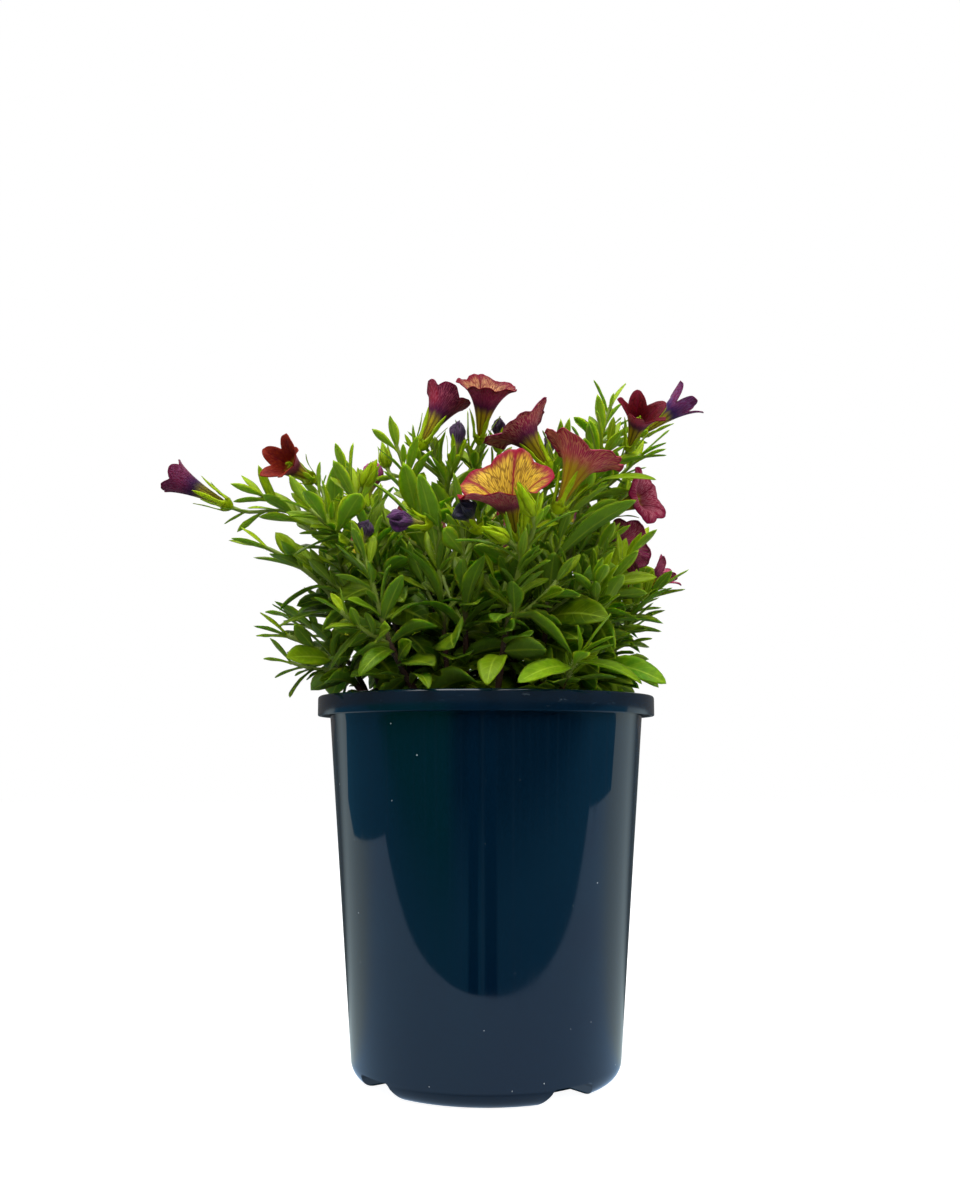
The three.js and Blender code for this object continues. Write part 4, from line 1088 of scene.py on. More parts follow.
BLOOMS = [BloomRow(*row) for row in (
    (0, (-107, -8, 232), (-134, -8, 246), 8, Form.FUNNEL, 20, 0.0, Petal.PLUM),
    (1, (-73, -5, 244), (-86, -25, 250), 11, Form.STAR, 80, 0.0, Petal.BRICK),
    (7, (-29, 0, 259), (-16, 9, 287), 11, Form.FUNNEL, 10, 0.1, Petal.WINE),
    (8, (-3, 6, 263), (1, -4, 287), 14, Form.WIDE, 90, -0.12, Petal.PEACH, 0.1),
    (11, (27, -16, 246), (12, -14, 268), 17, Form.WIDE, 0, 0.2, Petal.MAROON),
    (10, (12, -42, 212), (6.5, -54, 232), 20, Form.WIDE, 90, -0.3, Petal.SUNSET, 0.1),
    (12, (27, -45, 222), (40, -43, 250), 18, Form.WIDE, 0, 0.2, Petal.SALMON),
    (13, (60, -10, 256), (65, -28, 271), 11.5, Form.STAR, 90, 0.0, Petal.RED),
    (14, (68, 14, 269), (91, 9, 286), 9.5, Form.FAN, 66, 0.0, Petal.GRAPE),
    (15, (52, 3, 232), (69, -11, 237), 13, Form.OPEN, 40, 0.2, Petal.MAGENTA),
    (16, (42, -8, 210), (63, 4, 218), 13.5, Form.OPEN, 70, 0.1, Petal.ROSE),
    (17, (63, 1, 197), (79, -2, 207), 8.5, Form.FAN, 0, 0.0, Petal.ROSE),
    (22, (-60, 52, 218), (-64, 70, 228), 13, Form.OPEN, 15, 0.15, Petal.MAGENTA),
    (23, (-32, 64, 232), (-33, 84, 243), 14, Form.OPEN, 50, 0.1, Petal.SUNSET),
    (24, (5, 70, 227), (9, 88, 239), 14, Form.OPEN, 30, 0.15, Petal.MAROON),
    (25, (38, 62, 232), (42, 79, 246), 12.5, Form.FUNNEL, 5, 0.05, Petal.WINE),
    (26, (60, 52, 209), (66, 71, 219), 13, Form.OPEN, 65, 0.1, Petal.PEACH),
    (29, (48, 74, 184), (51, 91, 194), 11, Form.STAR, 25, 0.0, Petal.BRICK),
)]

FADED = [FadedRow(*row) for row in (
    (9, (-2, -51, 213), (-10, -56, 224), 5, Spent.NAVY),
    (5, (-50, -42, 207), (-46, -43, 219), 3, Spent.VIOLET),
    (31, (-21, -48, 217), (-37, -55, 218), 4.2, Spent.PURPLE),
    (4, (-53, 12, 236), (-48, 12, 256), 4.2, Spent.PINK),
    (7, (-14, -3, 252), (-11, -4, 270), 3.2, Spent.VIOLET),
    (8, (6, 13, 261), (6, 14, 277), 3, Spent.VIOLET),
    (11, (27, 8, 254), (29, 12, 269), 2.8, Spent.VIOLET),
    (17, (60, 12, 194), (70, 11, 205), 3.6, Spent.NAVY),
)]

GREEN_BUDS = [BudRow(*row) for row in (
    (21, (17, -71, 216), (11, -79, 227)),
    (21, (8, -70, 207), (-2, -77, 211)),
    (6, (-43, 4, 252), (-45, 6, 264)),
    (3, (-50, -30, 236), (-44, -33, 247)),
    (24, (-8, 66, 240), (-12, 72, 252)),
)]

KEY_LEAVES = [LeafRow(*row) for row in (
    (9, 0.42, (-36, -62, 178), 9, 2, 0),
    (12, 0.45, (46, -58, 179), 15, 0.9, 50),
    (18, 0.9, (37, -50, 197), 11, 0.3, 45),
    (18, 0.62, (53, -46, 198), 9, 0.5, 0),
    (12, 0.72, (58, -52, 226), 10.5, 0.5, -20),
    (18, 0.3, (68, -53, 155), 11, 1.1, 45),
    (20, 0.85, (57, -67, 154), 9, 0.8, 20),
    (21, 0.55, (3, -77, 176), 9, 0.6, 0),
    (21, 0.33, (0, -77, 153), 10.5, 1.2, 0),
    (20, 0.75, (11, -77, 154), 9.5, 0.9, -40),
    (5, 0.2, (-21, -74, 152), 6.5, 1.2, 0),
    (5, 0.4, (-47, -66, 157), 7.5, 1.5, -30),
    (19, 0.62, (-78, -40, 166), 11.5, 0.4, -50),
    (5, 0.62, (-52, -63, 186), 7, 0.4, -40),
    (19, 0.5, (-87, -20, 187), 5, 0.5, 0),
    (2, 0.55, (-82, -38, 178), 4.5, 0.6, -20),
    (6, 0.68, (-52, -18, 243), 8.5, 0.6, -30),
    (31, 0.9, (-26, -54, 236), 9, 0.3, 0),
    (1, 0.8, (-62, -24, 247), 8, 0.3, 0),
    (3, 0.72, (-55, -36, 232), 6.5, 0.3, 0),
    (31, 0.62, (-33, -58, 207), 9, 0.7, -20),
    (9, 0.55, (-1, -60, 203), 8.5, 0.5, 20),
    (13, 0.86, (69, -30, 239), 7, 0.5, 30),
    (13, 0.9, (74, -27, 250), 5.5, 0.4, 0),
    (21, 0.96, (34, -72, 218), 5, 0.4, 20),
    (21, 0.84, (-12, -76, 206), 5.5, 0.7, -20),
    (17, 0.72, (76, -22, 196), 5, 0.7, 0),
)]


# ---- How the plant grows ----


@dataclass(frozen=True)
class Habit:
    """The plant's own sizes. A pair is for a young leaf, near a tip, and for one that is old_at below it."""

    root_radius: float = 1.45
    tip_radius: float = 0.85
    shoots_from: Pair = (0.38, 0.7)
    foot: float = 2.0
    bare_length: float = 9.0
    hole_depth: float = 10.0
    shoot_radius: float = 0.8
    shoot_bare: float = 9.0
    shoot_length: Pair = (22.0, 34.0)
    shoot_size: float = 0.88
    pedicel_radius: float = 0.75
    pedicel_start: float = 0.86
    pedicel_apart: float = 0.07
    old_at: float = 85.0
    first_node: float = 5.0
    leaf_length: Pair = (14.5, 27.0)
    width_share: Pair = (0.26, 0.42)
    opening_deg: Pair = (34.0, 66.0)
    tip_opening_deg: Pair = (14.0, 28.0)
    curl: Pair = (0.15, 0.95)
    spacing: Pair = (10.3, 17.7)
    first_seed: int = 7001
    seed_step: int = 613
    golden_turn: float = math.radians(137.5)


HABIT = Habit()
TRIES = np.radians([0, 24, -24, 48, -48, 80, -80, 120, -120, 180])


@dataclass
class Axis:
    """A cubic curve through four points, with a radius at each end and a direction across it."""

    points: Array
    radii: Pair
    side: Array | None = None
    pitch: ClassVar[float] = 1.2

    def __post_init__(self) -> None:
        """Takes the side at right angles to the chord and to the upright, unless one is given."""
        self.points = np.asarray(self.points, float)
        chord = self.points[3] - self.points[0]
        self.length = float(np.linalg.norm(chord))
        if self.side is None:
            self.side = unit(np.cross(UP, chord))

    def point(self, t: Array | float) -> Array:
        """The point at t: the four points weighted k^3, 3 k^2 t, 3 k t^2 and t^3, where k is 1 - t."""
        t = spread(t)
        k = 1 - t
        a, b, c, d = self.points
        return k * k * k * a + 3 * k * k * t * b + 3 * k * t * t * c + t * t * t * d

    def frame(self, t: Array | float) -> tuple[Array, Array, Array, Array]:
        """The point at t, the tangent, and the two directions across it."""
        t = np.asarray(t, float)
        along = unit(self.point(np.minimum(t + 1e-4, 1)) - self.point(np.maximum(t - 1e-4, 0)))
        across = unit(self.side - along * spread((along * self.side).sum(-1)))
        return self.point(t), along, across, np.cross(along, across)

    def samples(self, start: float = 0.0) -> tuple[Array, Array]:
        """Points a pitch or so apart from a start, with their t."""
        count = math.ceil(self.length / self.pitch) + 2
        t = mix(start, 1.0, np.arange(count) / (count - 1))
        return self.point(t), t

    def tube(self, finish: Finish, sides: int, rows: int, age: Array, swell: Array | float = 0.0) -> Patch:
        """A tube round the axis, its radius led from one end's to the other's and grown by the swell."""
        t = np.linspace(0, 1, rows)
        at, _, across, over = self.frame(t)
        angle = circle(sides)
        radius = mix(*self.radii, t) * (1 + swell)
        out = around(across[:, None], over[:, None], angle[None])
        rings = (at[:, None] + out * radius[:, None, None])[None]
        return skins(rings, finish, age=np.reshape(age, (1, -1, 1)), along=t[None, :, None])


def stem_axis(row: StemRow) -> Axis:
    """A main stem's axis: it leaves the mix upright and reaches its tip at its own slope."""
    foot = np.array([*row.root, PottingMix.top + HABIT.foot])
    end = np.array(row.tip, float)
    reach = np.linalg.norm(end - foot)
    outward = unit((end - foot) * [1, 1, 0])
    slope = math.radians(row.rise)
    tip_way = outward * math.cos(slope) + UP * math.sin(slope)
    low = foot + UP * 0.3 * reach + outward * row.lean * reach
    return Axis([foot, low, end + tip_way * -0.38 * reach, end], (HABIT.root_radius, HABIT.tip_radius))


def shoot_axis(stem: Axis, t: float, turn: float, length: float) -> Axis:
    """A side shoot's axis: it leaves its stem at t, to the side that turn gives, and bends up."""
    at, along, across, over = stem.frame(t)
    start = along * 0.6 + around(across, over, turn) * 0.8
    finish = unit(start + UP * 0.55)
    end = at + start * 0.5 * length + finish * 0.5 * length
    points = [at, at + start * 0.33 * length, end + finish * -0.33 * length, end]
    return Axis(points, (HABIT.shoot_radius, HABIT.shoot_radius))


@dataclass
class Leaf:
    """A blade that follows an arc from its root along way towards bend, folded up along its rib."""

    root: Array
    way: Array
    bend: Array
    side: Array
    length: float
    width: float
    widest: float
    curl: float
    twist: float
    fold: float
    age: float = 0.6
    pitch: ClassVar[float] = 1.5

    def half_width(self, s: Array) -> Array:
        """Half the width at s along the blade: 0.13 (1 - s) plus 0.93 times the sine of pi s^p to the power
        q, times half the full width. The power p puts the widest place where it belongs, and q is 0.85 for a
        young leaf and less for an old one, which has a blunter tip."""
        power = math.log(0.5) / math.log(self.widest)
        blunt = 0.85 - 0.27 * min(self.age, 1.0)
        belly = np.sin(np.pi * np.minimum(s, 0.9999) ** power) ** blunt
        return self.width * 0.5 * (0.13 * (1 - s) + 0.93 * belly)

    def point(self, s: Array, u: Array, lift: Array | float = 0.0) -> Array:
        """A point of the blade.

        The rib runs length times sin(curl s) / curl along way and length times (1 - cos(curl s)) / curl
        towards bend. The cross-section turns with the twist and rises by the fold times the distance across.

        Args:
            s: The share along the blade.
            u: The share across it, from -1 to 1.
            lift: The height off its upper face.

        Returns:
            The points.
        """
        angle = self.curl * s
        at = self.root + spread(self.length * np.sin(angle) / self.curl) * self.way
        at = at + spread(self.length * (1 - np.cos(angle)) / self.curl) * self.bend
        face = around(-self.bend, self.way, angle)
        across = around(self.side, face, self.twist * s)
        normal = around(face, -self.side, self.twist * s)
        half = self.half_width(s)
        return at + spread(u * half) * across + spread(self.fold * np.abs(u) * half + lift) * normal

    def rolled(self, angle: float) -> "Leaf":
        """The same leaf turned about its way."""
        bend, side = around(self.bend, self.side, angle), around(self.side, -self.bend, angle)
        return replace(self, bend=bend, side=side)

    def samples(self) -> tuple[Array, Array]:
        """Points all over the blade, a pitch or so apart, with their share along it."""
        rows = math.ceil(self.length / self.pitch) + 1
        columns = 2 * math.ceil(self.width / (2 * self.pitch)) + 1
        s = np.repeat(np.arange(rows) / (rows - 1), columns)
        u = np.tile(2 * np.arange(columns) / (columns - 1) - 1, rows)
        return self.point(s, u), s


def leaf_plan(age: float, size: float, draws: Draws) -> dict[str, float]:
    """The sizes of the leaf at a node. Young ones are small, slim and upright, old ones broad and arching."""
    length = mix(*HABIT.leaf_length, age**0.8) * size * draws.between(0.82, 1.12)
    return {
        "length": length,
        "width": length * mix(*HABIT.width_share, age) * draws.between(0.85, 1.15),
        "widest": draws.between(0.5, 0.66),
        "opening": math.radians(mix(*HABIT.opening_deg, age) + draws.between(-8, 8)),
        "curl": mix(*HABIT.curl, age) * draws.between(0.5, 1.25) - 0.05,
        "twist": draws.between(-0.7, 0.7),
        "fold": draws.between(0.1, 0.32),
        "age": age,
    }


def leaf_on(axis: Axis, t: float, turn: float, plan: dict[str, float]) -> Leaf:
    """A leaf on an axis at t, turned round it by turn, that bends down and away from it."""
    at, along, across, over = axis.frame(t)
    out = around(across, over, turn)
    way = around(along, out, plan["opening"])
    bend = out * 0.5 + UP * -0.8
    bend = unit(bend - way * (bend @ way))
    sizes = {key: value for key, value in plan.items() if key != "opening"}
    return Leaf(at, way, bend, np.cross(way, bend), **sizes)


def leaf_to(axis: Axis, row: LeafRow) -> Leaf:
    """A leaf from an axis to a given point, arched by its curl and rolled about its length."""
    root = axis.frame(row.at)[0]
    chord = np.array(row.tip, float) - root
    span = float(np.linalg.norm(chord))
    chord = chord / span
    sag = unit(-UP + chord * (UP @ chord))
    rolled = around(sag, np.cross(chord, sag), math.radians(row.roll))
    way = around(chord, -rolled, row.curl / 2)
    bend = around(rolled, chord, row.curl / 2)
    length = span * row.curl / 2 / math.sin(row.curl / 2)
    return Leaf(root, way, bend, np.cross(way, bend), length, row.width, 0.58, row.curl, 0.0, 0.18)


class Held(Enum):
    """What may hold a cell of the space."""

    STEMS = 0
    LEAVES = 1
    BLOOMS = 2


NOBODY, MANY = -1, -2


class Space:
    """Cells that the pieces hold, so that nothing grows through anything else.

    The wide cells of a piece are its own and the 26 round each of them. Its core cells are its own alone.
    """

    cell = 1.7
    shape = (200, 200, 200)
    shift = np.array([100, 100, 2])
    root_share = 0.3
    small_root_share = 0.25
    near = np.stack(np.meshgrid(*[[-1, 0, 1]] * 3, indexing="ij"), -1).reshape(-1, 3)
    box = np.array([[-136.5, -78.5, 141.0], [101.5, 102.0, 293.0]])

    def __init__(self) -> None:
        """Starts with every cell free."""
        self.wide = {kind: np.full(self.shape, NOBODY, np.int16) for kind in Held}
        self.core = np.full(self.shape, NOBODY, np.int16)

    def cells(self, points: Array) -> Array:
        """The cells that points are in."""
        return np.floor(points.reshape(-1, 3) / self.cell).astype(int) + self.shift

    def hold(self, kind: Held, points: Array, owner: int) -> None:
        """Gives the cells of some points, and those round them, to an owner, or to MANY if one had them."""
        own = np.unique(self.cells(points), axis=0)
        spot = tuple((own[:, None] + self.near[None]).reshape(-1, 3).T)
        before = self.wide[kind][spot]
        self.wide[kind][spot] = np.where((before == NOBODY) | (before == owner), owner, MANY)
        self.take(points, owner)

    def take(self, points: Array, owner: int) -> None:
        """Gives the core cells of some points to an owner."""
        self.core[tuple(self.cells(points).T)] = owner

    def free(self, points: Array, s: Array, owner: int) -> bool:
        """True if no point is in another piece's wide cells, in this owner's leaves past the root, or in the
        pot."""
        spot = tuple(self.cells(points).T)
        stem, leaf, bloom = (self.wide[kind][spot] for kind in Held)
        met = (bloom != NOBODY) | ((stem != NOBODY) & (stem != owner))
        met |= (leaf != NOBODY) & ((leaf != owner) | (s > self.root_share))
        return not met.any() and bool(clear_of_pot(points).all())

    def fit(self, points: Array, s: Array, owner: int) -> bool:
        """Gives a small leaf's core cells past its root to an owner, if all are free, inside the plant's box
        and clear of the pot."""
        past = points[s > self.small_root_share]
        inside = ((past > self.box[0]) & (past < self.box[1])).all()
        if not inside or (self.core[tuple(self.cells(past).T)] != NOBODY).any():
            return False
        if not clear_of_pot(past).all():
            return False
        self.take(past, owner)
        return True


def clear_of_pot(points: Array, gap: float = 1.4, wall_gap: float = 2.5, mix_gap: float = 2.2) -> Array:
    """True where a point is above the mix, and not in or under the rim, with a gap to each."""
    radius, z = np.hypot(points[:, 0], points[:, 1]), points[:, 2]
    inner = POT.body_top_radius - POT.wall
    within = (radius < inner - wall_gap) & (z > PottingMix.top + PottingMix.dome + mix_gap)
    return (z > POT.height + gap) | (radius > POT.rim_radius + gap) | within


# ---- Blooms ----


@dataclass(frozen=True)
class Section:
    """A blade's cross-sections: where they are along it, and each one's points: place across and height."""

    along: tuple[float, ...]
    across: tuple[float, ...]
    heights: tuple[float, ...]
    under: tuple[float, ...]

    def grids(self) -> tuple[Array, Array, Array, Array]:
        """All four as grids of cross-sections by points."""
        s, u = np.meshgrid(self.along, self.across, indexing="ij")
        return s, u, np.broadcast_to(self.heights, s.shape), np.broadcast_to(self.under, s.shape)


# A groove runs along the upper face over the rib, and a ridge along the lower one.
FINE = Section(
    (0, 0.05, 0.12, 0.2, 0.3, 0.41, 0.52, 0.63, 0.73, 0.82, 0.9, 0.96),
    (-1, -0.7, -0.35, 0, 0.35, 0.7, 1, 0.7, 0.35, 0, -0.35, -0.7),
    (0, 0.12, 0.14, 0.0, 0.14, 0.12, 0, -0.14, -0.2, -0.42, -0.2, -0.14),
    (0.3, 0, 0, 0, 0, 0, 0.3, 1, 1, 1, 1, 1),
)
PLAIN = Section(
    (0, 0.07, 0.18, 0.33, 0.5, 0.66, 0.8, 0.91),
    (-1, -0.5, 0, 0.5, 1, 0.5, 0, -0.5),
    (0, 0.13, 0.0, 0.13, 0, -0.17, -0.4, -0.17),
    (0.3, 0, 0, 0, 0.3, 1, 1, 1),
)
SEPAL = Section(
    (0, 0.1, 0.22, 0.36, 0.5, 0.64, 0.77, 0.88, 0.96),
    (-1, -0.55, 0, 0.55, 1, 0.55, 0, -0.55),
    (0, 0.1, 0.04, 0.1, 0, -0.14, -0.28, -0.14),
    (0.3, 0, 0, 0, 0.3, 0.3, 0.3, 0.3),
)


@dataclass
class BloomFrame:
    """A bloom's own frame: its base, the way along its axis, and x and y across it."""

    base: Array
    way: Array
    length: float
    x: Array
    y: Array

    @classmethod
    def of(cls, base: Point, mouth: Point, turn: float = 0.0) -> "BloomFrame":
        """The frame from a base to a mouth, turned about its axis in degrees."""
        start = np.array(base, float)
        way = np.array(mouth, float) - start
        length = float(np.linalg.norm(way))
        way = way / length
        right = unit(np.cross(UP, way))
        x = around(right, np.cross(way, right), math.radians(turn))
        return cls(start, way, length, x, np.cross(way, x))

    def place(self, height: Array, radius: Array, angle: Array) -> Array:
        """Points from their height, their distance from the axis and their angle round it."""
        return self.base + spread(height) * self.way + around(self.x, self.y, angle) * spread(radius)

    def centre(self, height: float) -> Array:
        """The point on the axis at a height, as the end of one tube."""
        return self.place(height, 0.0, 0.0)[None]


@dataclass(frozen=True)
class CorollaSizes:
    """Sizes that all the corollas share, in millimetres."""

    foot: float = 2.35
    tube_start: float = 4.4
    tube_radius: float = 1.3
    throat: float = 4.2
    wall: float = 0.36


COROLLA = CorollaSizes()
FINE_ROWS = np.arange(25) / 24


@dataclass
class Flower:
    """What open and faded blooms share. Each kind has a profile and a point, given by v, which runs from the
    tube's start to the edge, and by the angle round it."""

    row: BloomRow | FadedRow
    frame: BloomFrame = field(init=False)
    foot: Array = field(init=False)
    columns: ClassVar[int]

    def __post_init__(self) -> None:
        """Works out the frame and the point where the form is closed at its foot."""
        self.frame = BloomFrame.of(self.row.base, self.row.mouth, self.row.turn)
        self.foot = self.frame.centre(COROLLA.foot)

    def samples(self) -> Array:
        """Points all over the plain form."""
        v, angle = np.meshgrid(FINE_ROWS, circle(self.columns), indexing="ij")
        return self.point(v, angle).reshape(-1, 3)

    def grid(self, v: Array, columns: int) -> tuple[Array, Array, Array]:
        """The rows and the angles of a fine grid, and the flow mark: cosine, sine and v."""
        rows, turn = np.meshgrid(v, circle(columns), indexing="ij")
        return rows, turn, np.stack([np.cos(turn), np.sin(turn), rows], -1)


class Corolla(Flower):
    """The trumpet of a bloom."""

    columns = 60

    def profile(self, v: Array) -> tuple[Array, Array]:
        """Radius and height at v.

        The radius is the tube's plus the throat times v^0.7 plus what is left of the mouth's radius times v
        to the flare's power. The height rises by 1 - (1 - v) to the level's power.
        """
        form = self.row.form.value
        throat = min(COROLLA.throat, 0.3 * self.row.radius)
        radius = COROLLA.tube_radius + throat * v**0.7
        radius = radius + (self.row.radius - COROLLA.tube_radius - throat) * v**form.flare
        rise = self.frame.length - COROLLA.tube_start
        return radius, COROLLA.tube_start + rise * (1 - (1 - v) ** form.level)

    def reach(self, angle: Array) -> Array:
        """The outline of the five lobes: 1 at the middle of a lobe, less in the notches between them."""
        form = self.row.form.value
        rounded = np.sqrt(0.5 + 0.5 * np.cos(5 * angle))
        wedge = np.abs(5 * angle / np.pi % 2 - 1)
        return 1 - form.lobe * (1 - mix(rounded, wedge, form.point))

    def point(self, v: Array, angle: Array, inset: float = 0.0, relief: float = 0.0) -> Array:
        """A point of the trumpet.

        Args:
            v: The share from the tube's start to the edge.
            angle: The angle round the axis.
            inset: How far in from the outer face.
            relief: The share of the ripples and creases, 0 for the plain form.

        Returns:
            The points.
        """
        w = v * mix(1.0, self.reach(angle), v * v)
        radius, height = self.profile(w)
        before, below = self.profile(np.maximum(w - 0.01, 0))
        run, climb = radius - before + 1e-6, height - below
        steep = np.hypot(run, climb)
        size = self.row.radius
        front = math.atan2(-self.frame.y[1], -self.frame.x[1])
        height = height - self.row.droop * size * v**5 * (0.5 + 0.5 * np.cos(2 * angle))
        height = height - self.row.lean * size * v**3 * np.cos(angle - front)
        lobe = np.cos(5 * angle)
        wave = 0.016 * np.sin(11 * angle + self.row.turn) + 0.007 * np.sin(23 * angle + 2 * self.row.turn)
        crease = 0.05 * v**3 * (np.maximum(lobe, 0) ** 8 - 0.3) + 0.03 * v**6 * np.maximum(-lobe, 0)
        height = height + relief * size * (wave * v**6 - crease - 0.045 * np.maximum(v - 0.85, 0) / 0.15)
        return self.frame.place(height + inset * run / steep, radius - inset * climb / steep, angle)

    def patches(self) -> list[Patch]:
        """The trumpet, out over its outer face and back down its inner one, and the stamens in its throat."""
        v = 1 - (1 - np.linspace(0, 1, 19)) ** 1.35
        rows, turn, flow = self.grid(v, 80)
        outer = self.point(rows, turn, 0.0, 1.0)
        inner = self.point(rows[::-1], turn, COROLLA.wall, 1.0)
        marks = {
            "flow": np.concatenate([flow, flow[::-1]])[None],
            "inside": np.repeat([0.0, 1.0], len(v))[None, :, None],
        }
        rings = np.concatenate([outer, inner])[None]
        floor = self.frame.centre(COROLLA.tube_start + 0.4)
        return [skins(rings, self.row.petal.value, self.foot, floor, **marks), self.stamens()]

    def stamens(self) -> Patch:
        """Five anthers on threads round a stigma: rods whose radius swells to a knob at the end."""
        height = mix(COROLLA.tube_start + 1.0, self.frame.length, 0.62)
        t = np.array([0.0, 0.5, 0.84, 0.9, 0.96, 1.0])
        radius = np.array([0.12, 0.12, 0.14, 0.42, 0.45, 0.2])
        angle = np.append(circle(5) + 0.3, 0.0)
        stand = np.append(np.full(5, 1.15), 0.0)
        tall = np.append(np.array([0.94, 1.0, 0.9, 0.97, 0.92]), 1.06)
        rise = COROLLA.tube_start + 0.6 + (height - COROLLA.tube_start) * tall[:, None] * t[None]
        centres = self.frame.place(rise, stand[:, None] * t[None] * 0.8 + 0.1, angle[:, None])
        out = around(self.frame.x, self.frame.y, circle(6))
        rings = centres[:, :, None] + out[None, None] * radius[None, :, None, None]
        return skins(rings, LEAF, age=0.0, tone=0.0, across=1.0, along=0.5, under=0.6)


class FadedBloom(Flower):
    """A faded bloom or a coloured bud: slim at its foot, fullest near its end, shut and crumpled."""

    columns = 24

    def profile(self, v: Array) -> tuple[Array, Array]:
        """Radius and height at v: the radius swells as the sine of pi v^2 to the power 0.9."""
        swell = np.sin(np.pi * np.minimum(v, 0.999) ** 2) ** 0.9
        rise = self.frame.length - COROLLA.tube_start
        return COROLLA.tube_radius * (1 - v) + self.row.radius * swell, COROLLA.tube_start + rise * v

    def point(self, v: Array, angle: Array, relief: float = 0.0) -> Array:
        """A point of the form: three soft corners, and with relief also pleats that wind along it."""
        radius, height = self.profile(v)
        wind = angle + relief * 0.9 * v * v
        pleats = 0.24 * np.cos(5 * wind) - 0.16 * np.abs(np.sin(4.5 * wind + 1))
        pleats = pleats + 0.1 * np.sin(11 * wind - 9 * v)
        ragged = 0.7 * np.cos(5 * wind) + 0.3 * np.sin(3 * wind) + 0.15 * np.sin(11 * wind) - 0.6
        height = height + relief * v**6 * self.row.radius * ragged
        slim = 1 - 0.12 * relief
        radius = radius * (slim + 0.12 * np.cos(3 * angle) + relief * pleats * v)
        return self.frame.place(height, radius, angle)

    def patches(self) -> list[Patch]:
        """The crumpled form, closed at its foot and at its far end."""
        v, turn, flow = self.grid(np.linspace(0, 0.985, 26), 44)
        end = self.frame.centre(self.frame.length)
        return [skins(self.point(v, turn, 1.0)[None], self.row.spent.value, self.foot, end, flow=flow[None])]


